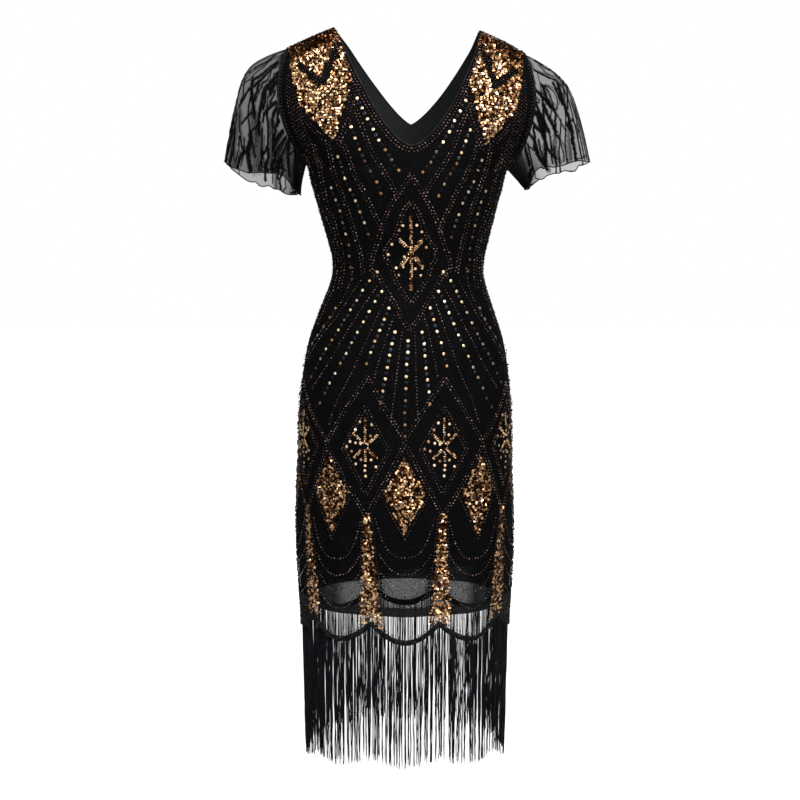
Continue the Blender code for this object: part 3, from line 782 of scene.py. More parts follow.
@dataclass(frozen=True)
class SleeveForm:
    """The smooth shape of one sleeve: rings that fan out from the armhole to the hem.

    The cap is the sleeve's outer line, in rows of share of its length, X and Z.
    """

    side: float
    cap: tuple[tuple[float, float, float], ...]
    inner_hem: Pair
    hem_line: tuple[float, ...]
    hem_depth: float = 0.071
    hem_lift: float = 0.005
    hem_sag: float = 0.013
    bulge_ends: float = 0.45
    stand_off: float = 0.0004
    wall_room: float = 0.0023
    ruffle_waves: int = 5
    ruffle_half_span: float = 62.0
    ruffle_depth: float = 0.0042
    ruffle_start: float = 0.45

    def at(self, angle: Array, share: Array, move: Amount = 0.0) -> Array:
        """Points of the sleeve on the hung dress.

        A ring is an ellipse between the outer line and the inner line, which runs from the armpit
        to the inner hem point. Its depth grows from the armhole's to the hem's.

        Args:
            angle: degrees round the sleeve, 0 on top, 90 in front, 180 at the underarm.
            share: 0 at the armhole seam, 1 at the hem.
            move: how far outside the smooth shape each point lies.

        Returns:
            Places, last axis X, Y, Z.
        """
        angle, share, move = np.broadcast_arrays(np.asarray(angle, float) % 360, share, move)
        turn = np.radians(angle)
        places, cap_x, cap_z = zip(*self.cap, strict=True)
        outer_x, outer_z = SmoothCurve(places, cap_x)(share), SmoothCurve(places, cap_z)(share)
        inner_x = FORM.armpit_x + (self.inner_hem[0] - FORM.armpit_x) * share
        inner_z = FORM.armpit_z + (self.inner_hem[1] - FORM.armpit_z) * share
        reach_x, reach_z = (outer_x - inner_x) / 2, (outer_z - inner_z) / 2
        front = np.sin(turn) >= 0
        seam_depth = np.where(front, *FORM.armhole_depth.values())
        depth = seam_depth + (self.hem_depth - seam_depth) * np.sin(share * math.pi / 2)
        bulge = FORM.armhole_bulge * np.clip(1 - share / self.bulge_ends, 0, 1) ** 2
        off = self.stand_off + self.wall_room * (1 - np.cos(turn)) / 2
        out = move + self.ruffle(angle, share)
        length = np.hypot(reach_x, reach_z)
        x = (outer_x + inner_x) / 2 + reach_x * np.cos(turn) + bulge * np.sin(turn) ** 2 + off
        x = x + out * np.cos(turn) * reach_x / length
        y = -(depth + out) * np.sin(turn)
        tilt = np.where(front, self.hem_lift, self.hem_sag) * np.sin(turn)
        z = (outer_z + inner_z) / 2 + reach_z * np.cos(turn) + tilt * share
        z = z + out * np.cos(turn) * reach_z / length + self.hem_rise(angle) * share**3
        return FORM.hang(np.stack([self.side * x, y, z], axis=-1))

    def hem_rise(self, angle: Array) -> Array:
        """How far the hem lies above the smooth one; its table has degrees and mm by turns."""
        return SmoothCurve(self.hem_line[::2], self.hem_line[1::2])(angle) * 1e-3

    def ruffle(self, angle: Array, share: Array) -> Array:
        """Waves of the hem round the underarm line, growing towards the hem.

        Args:
            angle: degrees round the sleeve.
            share: share of its length.

        Returns:
            How far the cloth moves out.
        """
        off = np.abs(angle - 180) / self.ruffle_half_span
        wave = np.cos(np.radians(off * 90 * self.ruffle_waves))
        grows = np.clip((share - self.ruffle_start) / (1 - self.ruffle_start), 0, 1) ** 1.5
        return self.ruffle_depth * np.clip(1 - off**2, 0, 1) * wave * grows


LEFT_SLEEVE = SleeveForm(
    side=-1.0,
    cap=(
        (0, 0.172, -0.03), (0.16, 0.204, -0.0425), (0.3, 0.228, -0.0575), (0.44, 0.243, -0.082),
        (0.6, 0.252, -0.115), (0.8, 0.261, -0.155), (1, 0.269, -0.197),
    ),
    inner_hem=(0.16, -0.243),
    hem_line=(
        0, -0.5, 20, -0.9, 40, -4.1, 60, -2.8, 75, -1.7, 80, 0.5, 90, 5.4, 100, 9, 110, 12.7, 120,
        16.4, 130, 17.6, 137, 14.6, 144, 12.8, 152, 10.2, 165, 5.6, 180, 1.6, 190, 4, 200, 1.4,
        215, 2.2, 235, 0.5, 248, 3, 256, 1.2, 264, 2.8, 272, -1.5, 280, -4, 286, -1.5, 293, -4.5,
        300, -5.8, 315, -4.2, 330, -3, 345, -1.2, 360, -0.5,
    ),
)
RIGHT_SLEEVE = SleeveForm(
    side=1.0,
    cap=(
        (0, 0.172, -0.03), (0.16, 0.196, -0.0425), (0.3, 0.219, -0.057), (0.44, 0.239, -0.079),
        (0.6, 0.252, -0.111), (0.8, 0.262, -0.146), (1, 0.2705, -0.183),
    ),
    inner_hem=(0.176, -0.229),
    hem_line=(
        0, -2.6, 20, -2.5, 40, 0.8, 50, 3.6, 58, 6.2, 64, 7.6, 72, 8.9, 82, 9.9, 90, 10.8, 98,
        12.4, 108, 15, 118, 19.6, 124, 19, 130, 23.5, 140, 22, 150, 18.5, 160, 12, 170, 5, 180,
        0.6, 188, 2.6, 195, 1.8, 210, 6.5, 220, 7.8, 230, 10.4, 240, 13.4, 248, 12.2, 258, 14.8,
        270, 13.5, 280, 10.2, 288, 10, 300, 4.3, 308, 1, 313, 0, 320, 4.4, 330, 1.6, 345, -0.8,
        360, -2.6,
    ),
)

ARC = 0.2235  # length of a quarter of the skirt, centre line to side seam
PATTERN_DRIFT = SmoothCurve(  # how far the front's pattern sits off the centre line, by height
    (-0.62, -0.59, -0.55, -0.50, -0.45, -0.41, -0.35),
    (0, -0.0012, -0.0028, -0.0032, -0.0024, -0.0014, 0),
)


class Placer(NamedTuple):
    """Places on one side of the cloth from two distances in metres: one across, one in height."""

    side: Side
    place: Callable[[Array, Array], Array]
    reach: float = 4e-4
    neck_room: float = 1.2e-3

    def at(self, spots: Array, proud: float) -> tuple[Array, Array]:
        """Places held off the cloth, and the outward direction at each.

        The outward direction is the cross product of the two directions along the cloth, found
        from small steps each way.

        Args:
            spots: distance across and height, last axis of two.
            proud: how far off the cloth.

        Returns:
            Places and unit outward directions.
        """
        u, v = spots[..., 0], spots[..., 1]
        across = self.place(u + self.reach, v) - self.place(u - self.reach, v)
        up = self.place(u, v + self.reach) - self.place(u, v - self.reach)
        out = -self.side.value * unit(np.cross(unit(across), unit(up)))
        return self.place(u, v) + out * proud, out

    def on_cloth(self, spots: Array) -> Array:
        """Whether each spot lies clear of the neck opening."""
        edge = FORM.neckline_x(self.side, spots[..., 1]) + self.neck_room
        return (spots[..., 1] < -FORM.neck_depth(self.side)) | (np.abs(spots[..., 0]) > edge)


def by_distance(side: Side) -> Placer:
    """Places by X and Z on the straight form."""
    return Placer(side, lambda x, z: FORM.front_view(side, x, z))


def by_arc(side: Side) -> Placer:
    """Places by distance round the skirt from the pattern's middle line, and Z."""
    aside = 1.0 if side is Side.FRONT else 0.0
    return Placer(side, lambda arc, z: FORM.body(side, (arc + aside * PATTERN_DRIFT(z)) / ARC, z))


# ---- Finishes ----

Socket = bpy.types.NodeSocket
Colour = tuple[float, float, float]


class NodeDesk:
    """Short ways to add nodes to one material."""

    def __init__(self, name: str, **sockets: float | tuple) -> None:
        """Makes a new material and sets shader inputs; an underscore in a name is a space.

        Args:
            name: the material's name.
            **sockets: a value for each shader input.
        """
        self.material = bpy.data.materials.new(name)
        self.material.use_nodes = True
        self.tree = self.material.node_tree
        self.shader = self.tree.nodes["Principled BSDF"]
        for key, value in sockets.items():
            self.shader.inputs[key.replace("_", " ")].default_value = value

    def node(
        self, kind: str, inputs: dict[str | int, object], **settings: object
    ) -> bpy.types.Node:
        """Adds a node.

        Args:
            kind: its type.
            inputs: a number or a socket to join for each input.
            **settings: its properties.

        Returns:
            The node.
        """
        made = self.tree.nodes.new(kind)
        for key, value in settings.items():
            setattr(made, key, value)
        for key, value in inputs.items():
            if isinstance(value, Socket):
                self.tree.links.new(value, made.inputs[key])
            else:
                made.inputs[key].default_value = value
        return made

    def join(self, source: Socket, name: str) -> None:
        """Joins a socket to one of the shader's inputs."""
        self.tree.links.new(source, self.shader.inputs[name])

    def place(self) -> Socket:
        """Object coordinates."""
        return self.node("ShaderNodeTexCoord", {}).outputs["Object"]

    def noise(self, scale: float, detail: float = 3.0) -> Socket:
        """Soft noise on object coordinates."""
        inputs = {"Scale": scale, "Detail": detail, "Vector": self.place()}
        return self.node("ShaderNodeTexNoise", inputs).outputs["Fac"]

    def twist(self, scale: float) -> Socket:
        """Fine slanting lines on object coordinates.

        Args:
            scale: how fine the lines are.

        Returns:
            The lines' socket.
        """
        inputs = {"Scale": scale, "Distortion": 0.3, "Detail": 1.0, "Vector": self.place()}
        made = self.node("ShaderNodeTexWave", inputs, wave_type="BANDS", bands_direction="DIAGONAL")
        return made.outputs["Fac"]

    def value(self, name: str) -> Socket:
        """A per-point value of the mesh."""
        return self.node("ShaderNodeAttribute", {}, attribute_name=name).outputs["Fac"]

    def math(self, operation: str, first: Socket, second: Socket) -> Socket:
        """Two numbers made one."""
        return self.node("ShaderNodeMath", {0: first, 1: second}, operation=operation).outputs[0]

    def spread(
        self, source: Socket, low: float, high: float, start: float = 0.0, end: float = 1.0
    ) -> Socket:
        """Maps a number from start..end to low..high."""
        ends = {"From Min": start, "From Max": end, "To Min": low, "To Max": high}
        return self.node("ShaderNodeMapRange", {"Value": source, **ends}).outputs["Result"]

    def ramp(self, source: Socket, stops: Sequence[tuple[float, Colour]]) -> None:
        """Gives the shader a base colour from a number.

        Args:
            source: the number.
            stops: place and colour of each stop.
        """
        made = self.node("ShaderNodeValToRGB", {"Fac": source})
        bar = made.color_ramp
        while len(bar.elements) < len(stops):
            bar.elements.new(0.5)
        for element, (position, colour) in zip(bar.elements, stops, strict=True):
            element.position = position
            element.color = (*colour, 1.0)
        self.join(made.outputs["Color"], "Base Color")

    def bump(self, height: Socket, strength: float, distance: float) -> None:
        """Joins a height to the shader's normal."""
        inputs = {"Strength": strength, "Distance": distance, "Height": height}
        self.join(self.node("ShaderNodeBump", inputs).outputs["Normal"], "Normal")


@dataclass(frozen=True)
class NetFinish:
    """Fine black net. Its opacity is one number, or a per-point value where it is gathered."""

    name: str
    dark: Colour
    light: Colour
    opacity: float
    by_cover: bool = False
    sheen: float = 0.008
    specular: float = 0.03
    roughness: float = 0.85

    def build(self) -> Material:
        """Black thread with a trace of sheen and uneven colour.

        Returns:
            The material.
        """
        desk = NodeDesk(
            self.name, Roughness=self.roughness, Sheen_Weight=self.sheen, Sheen_Roughness=0.5,
            Alpha=self.opacity, Specular_IOR_Level=self.specular,
        )
        desk.ramp(desk.noise(38.0), ((0.3, self.dark), (0.75, self.light)))
        if self.by_cover:
            desk.join(desk.value("cover"), "Alpha")
        return desk.material


@dataclass(frozen=True)
class SlipFinish:
    """Thin plain slip cloth; the points' cover is its opacity and their tone its greyness."""

    name: str = "slip_cloth"
    dark: Colour = (0.0014, 0.0015, 0.0017)
    light: Colour = (0.0034, 0.0036, 0.0040)
    grey: Colour = (0.0190, 0.0200, 0.0215)
    grain: float = 0.75

    def build(self) -> Material:
        """Close, dull weave of slightly uneven black.

        Returns:
            The material.
        """
        desk = NodeDesk(
            self.name, Roughness=0.75, Sheen_Weight=0.008, Sheen_Roughness=0.4,
            Specular_IOR_Level=0.04,
        )
        shade = desk.math("ADD", desk.value("tone"), desk.spread(desk.noise(24.0), 0.0, 0.12))
        desk.ramp(shade, ((0.0, self.dark), (0.12, self.light), (1.0, self.grey)))
        grain = desk.spread(desk.noise(520.0, 2.0), 1 - self.grain, 1 + self.grain, 0.3, 0.7)
        through = desk.math("MULTIPLY", desk.spread(desk.value("cover"), 1.0, 0.0), grain)
        desk.join(desk.spread(through, 1.0, 0.0), "Alpha")
        return desk.material


@dataclass(frozen=True)
class GlintFinish:
    """Metal or glass trim whose colour goes by tone: each unit's own, plus painted highlights and
    shade.
    """

    name: str
    stops: tuple[tuple[float, Colour], ...]
    metallic: float
    roughness: Pair
    coat: float = 0.0

    def build(self) -> Material:
        """Colour from the tone, roughness and relief from fine noise.

        Returns:
            The material.
        """
        desk = NodeDesk(
            self.name, Metallic=self.metallic, Coat_Weight=self.coat, Coat_Roughness=0.08
        )
        desk.ramp(desk.value("tone"), self.stops)
        uneven = desk.noise(420.0, 2.0)
        desk.join(desk.spread(uneven, *self.roughness, 0.3, 0.7), "Roughness")
        desk.bump(uneven, 0.12, 0.0004)
        return desk.material


@dataclass(frozen=True)
class ThreadFinish:
    """Twisted thread or braid with a soft shine, and where given, light flecks: painted highlights.
    """

    name: str
    dark: Colour
    light: Colour
    twist_scale: float
    roughness: float = 0.5
    painted_highlight: Colour | None = None

    def build(self) -> Material:
        """Twist lines across the thread, colour uneven along it.

        Returns:
            The material.
        """
        desk = NodeDesk(
            self.name, Roughness=self.roughness, Sheen_Weight=0.012, Sheen_Roughness=0.35,
            Specular_IOR_Level=0.08,
        )
        # Light flecks from fine noise: painted highlights on the braid's threads.
        if self.painted_highlight:
            stops = ((0.0, self.dark), (0.62, self.light), (0.70, self.painted_highlight))
            desk.ramp(desk.noise(480.0, 1.0), stops)
        else:
            desk.ramp(desk.noise(60.0), ((0.3, self.dark), (0.72, self.light)))
        desk.bump(desk.twist(self.twist_scale), 0.5, 0.0003)
        return desk.material


PANEL_NET = NetFinish("panel_net", (0.0015, 0.0015, 0.0018), (0.0036, 0.0037, 0.0042), 0.38)
SLEEVE_NET = NetFinish(
    "sleeve_net", (0.0010, 0.0010, 0.0012), (0.0026, 0.0026, 0.0030), 0.5, True, 0.004, 0.02
)
FRINGE_THREAD = ThreadFinish(
    "fringe_thread", (0.0018, 0.0019, 0.0030), (0.0060, 0.0064, 0.0100), 700.0
)
# The hem braid's light flecks are painted highlights on its threads.
BRAID = ThreadFinish(
    "hem_braid", (0.001, 0.001, 0.0013), (0.003, 0.003, 0.0035), 420.0, painted_highlight=(0.09, 0.09, 0.10)
)
SEAM_THREAD = ThreadFinish("seam_thread", (0.0015, 0.0015, 0.0018), (0.005, 0.005, 0.006), 420.0)
# The neck binding's lighter grey is partly its colour, partly a painted highlight along the neck
# edge.
BINDING_WITH_PAINTED_HIGHLIGHT = ThreadFinish("neck_binding", (0.003, 0.003, 0.003), (0.016, 0.015, 0.014), 520.0)
# The palest stop, near white, is a painted glint on the beads with the highest tones.
BEAD_GLASS = GlintFinish(
    "copper_seed_beads",
    (
        (0.0, (0.004, 0.003, 0.003)),
        (0.10, (0.012, 0.006, 0.005)),
        (0.45, (0.110, 0.052, 0.038)),
        (0.75, (0.300, 0.190, 0.150)),
        (1.0, (0.740, 0.610, 0.530)),
    ),
    metallic=0.7,
    roughness=(0.25, 0.45),
    coat=0.2,
)
SPANGLE_METAL = GlintFinish(
    "round_spangles",
    (
        (0.0, (0.005, 0.004, 0.004)),
        (0.15, (0.050, 0.050, 0.056)),
        (0.3, (0.150, 0.150, 0.160)),
        (0.4, (0.090, 0.045, 0.022)),
        (0.6, (0.380, 0.220, 0.110)),
        (0.8, (0.850, 0.620, 0.380)),
        (1.0, (1.000, 0.860, 0.660)),
    ),
    metallic=1.0,
    roughness=(0.30, 0.45),
)
# From near black to cream: the ramp's ends serve as painted shade and painted glints of sequins.
SEQUIN_GOLD = GlintFinish(
    "gold_sequins",
    (
        (0.0, (0.014, 0.005, 0.002)),
        (0.25, (0.160, 0.064, 0.023)),
        (0.6, (0.740, 0.430, 0.215)),
        (1.0, (1.000, 0.790, 0.520)),
    ),
    metallic=1.0,
    roughness=(0.20, 0.36),
)


# ---- Cloth ----


@dataclass(frozen=True)
class ClothSide:
    """A grid of cloth over one side of the dress, from a hem up to the shoulder seams."""

    side: Side
    hem: Callable[[Array], Array]
    half_columns: int = 52
    body_rows: int = 124
    yoke_step: float = 2.5
    top_row: float = 0.0
    edge_back: float = 0.0
    inset: Callable[[Array], Array] = np.zeros_like

    def half(self, hand: float) -> MeshData:
        """The half towards +X or -X.

        Rows below the armpits rise evenly from the hem; above them they turn round the armhole.
        Columns keep their share of the arc, so both parts meet point to point.

        Args:
            hand: 1 or -1.

        Returns:
            Quads facing out, with each point's height and share of the arc as values.
        """
        column = np.linspace(0, 1, self.half_columns + 1)
        hem = self.hem(column)
        z = hem + (FORM.armpit_z - hem) * np.linspace(0, 1, self.body_rows + 1)[:, None]
        body = FORM.body(self.side, hand * column, z, -self.inset(z))
        row = np.arange(180 - self.yoke_step, self.top_row - 1e-6, -self.yoke_step)[:, None]
        armpit = np.full_like(column, FORM.armpit_z)
        share = FORM.section_angle(self.side, column, armpit) * 2 / math.pi
        back = self.edge_back * np.clip((180 - row) / 12, 0, 1)
        start = np.where(row < FORM.neck_row[self.side], back, 0)
        share = start + share * (1 - back - start)
        yoke = FORM.yoke(self.side, hand, row, share, -self.inset(np.full_like(row, FORM.armpit_z)))
        points = np.concatenate([body, yoke])
        faces = grid_faces(*points.shape[:2])
        if hand * self.side.value > 0:
            faces = faces[:, ::-1]
        shares = np.broadcast_to(hand * column, points.shape[:2])
        values = {"height": points[..., 2].ravel(), "share": shares.ravel()}
        return MeshData(points.reshape(-1, 3), faces, values)

    def mesh(self) -> MeshData:
        """Both halves, joined along the centre line below the V."""
        return welded(joined([self.half(hand) for hand in HANDS]))


@dataclass
class Nets:
    """The front and back of the beaded net."""

    finish: NetFinish = PANEL_NET
    flat: Pair = (0.470, 0.915)
    flat_area: float = 0.330

    def build(self, rests: dict[Side, str]) -> None:
        """Makes both nets, each standing for its panel's solid.

        Args:
            rests: the slip under each net; not used.
        """
        material = self.finish.build()
        for side in Side:
            cloth, solid = ClothSide(side, FORM.scallop_z).mesh(), f"{side.word}_panel"
            net = make_piece(f"net_{side.word}", cloth, material, solid)


@dataclass
class Slip:
    """The plain slip under the net: opaque but for its lowest part, with a turned hem.

    The lowest part is sheer between the shares of the bays and closer towards the sides.
    """

    finish: SlipFinish = field(default_factory=SlipFinish)
    hem_z: float = -0.859
    inset_top: float = 0.0004
    inset_hem: float = 0.0012
    inset_from_z: float = -0.760
    sheer_from_z: float = -0.782
    sheer_fade: float = 0.012
    sheer_cover: float = 0.82
    sheer_share: float = 0.455
    side_cover: float = 0.975
    slant: float = 0.021
    first_bay: float = 0.21
    second_bay: float = 0.365
    bay_reach: float = 0.10
    bay_cover: float = 0.65
    hem_band: float = 0.015
    hem_cover: dict[Side, float] = each_side(0.992, 0.96)
    inner_z: float = -0.215
    flat: Pair = (0.460, 0.860)
    flat_area: float = 0.300

    def inset(self, z: Array) -> Array:
        """How far inside the net the slip hangs."""
        near = np.clip((self.inset_from_z - z) / (self.inset_from_z - self.hem_z), 0, 1)
        return self.inset_top + (self.inset_hem - self.inset_top) * near

    def hem(self, share: Array) -> Array:
        """The straight hem."""
        return np.full_like(share, self.hem_z)

    def cover(self, side: Side, z: Array, share: Array) -> Array:
        """Opacity: whole above, sheer near the hem but not at the sides, doubled in the hem's band.

        Args:
            side: front or back.
            z: height of each point.
            share: signed share of the arc of each point.

        Returns:
            Opacities.
        """
        lower = self.slant * np.clip(share / self.sheer_share, -1, 0) * (side is Side.FRONT)
        sheer = np.clip((self.sheer_from_z + lower - z) / self.sheer_fade, 0, 1)
        aside = np.abs(share)
        bay = np.minimum(aside / self.first_bay, np.abs(aside - self.second_bay) / self.bay_reach)
        edge = np.clip((aside - self.sheer_share) / 0.03, 0, 1)
        closer = np.maximum(self.bay_cover * np.clip(bay, 0, 1) ** 3, edge)
        low = self.sheer_cover + (self.side_cover - self.sheer_cover) * closer
        return np.where(z < self.hem_z + self.hem_band, self.hem_cover[side], 1 - (1 - low) * sheer)

    def tone(self, side: Side, z: Array) -> Array:
        """Greyness: charcoal where the back's lining shows at the neck, and in the hem's band."""
        neck = np.clip((z - self.inner_z) / 0.03, 0, 1) * (side is Side.BACK)
        return np.maximum(neck, 0.8 * np.clip((self.hem_z + self.hem_band - z) / 0.003, 0, 1))

    def build(self) -> dict[Side, str]:
        """Makes both sides and gives their names.

        Returns:
            The name of each side's piece.
        """
        material, names = self.finish.build(), {}
        for side in Side:
            data = ClothSide(side, self.hem, 26, 200, 3.0, 3.0, 0.004, self.inset).mesh()
            z, share = data.values["height"], data.values["share"]
            values = {"cover": self.cover(side, z, share), "tone": self.tone(side, z)}
            data, solid = data._replace(values=values), f"lining_{side.word}"
            piece = make_piece(f"slip_{side.word}", data, material, solid)
            names[side] = piece.name
        return names


@dataclass
class SleeveNet:
    """One sheer sleeve, gathered into the armhole, with listed creases."""

    name: str
    form: SleeveForm
    creases: tuple[Crinkle, ...]
    clear_cover: float
    under_reach: float
    crease_spread: float
    flat: Pair = (0.545, 0.125)
    flat_area: float = 0.056
    around: int = 372
    along: int = 142
    seam_cover: float = 0.985
    seam_reach: float = 0.05
    hem_radius: float = 0.0008
    round_pitch: float = 1.2
    bundle_width: float = 3.5
    bundle_pitch: float = 3.4
    crumple: float = 0.0016
    ragged: float = 0.22
    mean_length: float = 117.5
    length_swing: float = 72.5

    def crease_gap(self, line: Array, angle: Array, share: Array, length: Array) -> Array:
        """Distance of each point from a crease's line in mm on the flat net.

        Args:
            line: the crease's points, of degrees and share.
            angle: degrees round the sleeve; they count by its girth.
            share: share of its length; it counts by the length there.
            length: the sleeve's length at each angle.

        Returns:
            Distances.
        """
        first = line[0, 0]
        turned = (angle - first + 180) % 360 - 180
        spots = np.stack([turned * self.round_pitch, share * length], -1)
        ends = [
            np.stack([np.full_like(angle, (turn - first) * self.round_pitch), part * length], -1)
            for turn, part in line
        ]
        gap = np.full_like(angle, np.inf)
        for a, b in zip(ends[:-1], ends[1:], strict=True):
            run = b - a
            t = np.clip(((spots - a) * run).sum(-1) / np.maximum((run * run).sum(-1), 1e-9), 0, 1)
            gap = np.minimum(gap, np.linalg.norm(spots - a - t[..., None] * run, axis=-1))
        return gap

    def relief(self, angle: Array, share: Array) -> tuple[Array, Array]:
        """Depth and darkness of the creases at each point.

        Across a crease the cloth dips in the middle and swells a little on both sides; its dark
        core is flat with steep sides.

        Args:
            angle: degrees round the sleeve.
            share: share of its length.

        Returns:
            How far the cloth moves out, and how clear it stays, 1 to 0.
        """
        depth, clear = np.zeros_like(angle), np.ones_like(angle)
        length = self.mean_length + self.length_swing * np.cos(np.radians(angle))
        ragged = np.sin(71 * share + 0.9 * angle) * np.sin(43 * share - 0.7 * angle)
        ragged = 1 + self.ragged * ragged
        for crease in self.creases:
            gap = self.crease_gap(np.array(crease.line, float), angle, share, length)
            near = gap / (0.3 + self.crease_spread * crease.half_width * ragged)
            wide = near / 1.7
            dip = 0.5 + 0.4 * min(crease.half_width, 4.0)
            depth -= dip * 1e-3 * (1 - 1.6 * wide**2) * np.exp(-(wide**2))
            core = np.exp(-((0.95 * near) ** 8))
            if crease.half_width > self.bundle_width:
                core *= 0.66 + 0.34 * np.cos(2 * math.pi * gap / self.bundle_pitch + 5 * share)
            clear *= 1 - (1 - (1 - crease.dark) ** 2.2) * core
        return depth, clear

    def cover(self, angle: Array, share: Array, clear: Array) -> Array:
        """Opacity: the net's own, more in creases, at the gathered seam and under the arm.

        Args:
            angle: degrees round the sleeve.
            share: share of its length.
            clear: how clear the creases leave each point.

        Returns:
            Opacities.
        """
        turn = np.radians(angle)
        streak = 0.5 + 0.5 * np.sin(turn * 23 + 3 * np.sin(turn * 5))
        seam = np.clip(1.25 - share / (self.seam_reach * (0.5 + 0.8 * streak)), 0, 1) ** 0.6
        under = np.exp(-0.6 * ((angle - 180) / self.under_reach) ** 4)
        mottle = 0.9 + 0.1 * np.sin(turn * 61 + 9 * share) * np.sin(37 * share + 0.4 * angle)
        through = (1 - self.clear_cover) * clear * (1 - self.seam_cover * seam)
        return np.clip(1 - through * (1 - under * mottle), 0, 0.9995)

    def mesh(self) -> MeshData:
        """The sleeve as a tube of quads, open at both ends.

        Returns:
            The mesh.
        """
        turn = np.arange(self.around) * 360 / self.around
        share, angle = np.meshgrid(np.linspace(0.004, 1, self.along + 1), turn, indexing="ij")
        depth, clear = self.relief(angle, share)
        under = np.exp(-(((angle - 180) / self.under_reach) ** 2)) * share
        crumple = np.sin(0.9 * angle + 40 * share) * np.sin(0.37 * angle - 23 * share)
        depth += self.crumple * under * crumple
        points = self.form.at(angle, share, depth * np.clip(share / 0.08, 0, 1))
        faces = grid_faces(self.along + 1, self.around, wrap=True)
        if self.form.side > 0:
            faces = faces[:, ::-1]
        cover = self.cover(angle, share, clear).ravel()
        return MeshData(points.reshape(-1, 3), faces, {"cover": cover})

    def hem(self) -> MeshData:
        """The rolled hem along the sleeve's edge.

        Returns:
            The mesh.
        """
        turn = np.arange(240) * 1.5
        edge = self.form.at(turn, np.ones_like(turn), self.relief(turn, np.ones_like(turn))[0])
        return tube(edge, self.hem_radius, 6, unit(edge - edge.mean(axis=0)), closed=True)

    def build(self, net: Material, roll: Material) -> None:
        """Makes the sleeve and its rolled hem.

        Args:
            net: the net's material.
            roll: the rolled hem's material.
        """
        solid = f"sleeve_{self.name}"
        sleeve = make_piece(f"tulle_sleeve_{self.name}", self.mesh(), net, solid)
        hem = make_piece(f"sleeve_hem_{self.name}", self.hem(), roll)


def beside(creases: Sequence[Crinkle]) -> tuple[Crinkle, ...]:
    """Fine creases that leave the main ones at a narrow angle, to one side or the other.

    Args:
        creases: the main creases.

    Returns:
        The new creases.
    """
    made = []
    for number, crease in enumerate(creases):
        lean = (4 + 2.5 * math.sin(1.9 * number)) * (-1) ** number / len(crease.line)
        line = tuple((a + lean * step, share) for step, (a, share) in enumerate(crease.line, 1))
        made.append(Crinkle(line, 0.45, 0.35 + 0.25 * math.sin(2.7 * number) ** 2))
    return tuple(made)


def behind(creases: Sequence[Crinkle]) -> tuple[Crinkle, ...]:
    """Like creases for a sleeve's back, at uneven places: turned round, shifted and rescaled.

    Args:
        creases: the main creases.

    Returns:
        The new creases.
    """
    made = []
    for number, crease in enumerate(creases):
        turn, slide = 5 * math.sin(2.3 * number), 0.06 * math.sin(1.7 * number + 1)
        line = tuple((360 - a + turn, min(max(s + slide, 0.0), 1.0)) for a, s in crease.line)
        size = 1 + 0.25 * math.sin(3.1 * number)
        made.append(Crinkle(line, crease.half_width * size, 0.9 * crease.dark))
    return tuple(made)


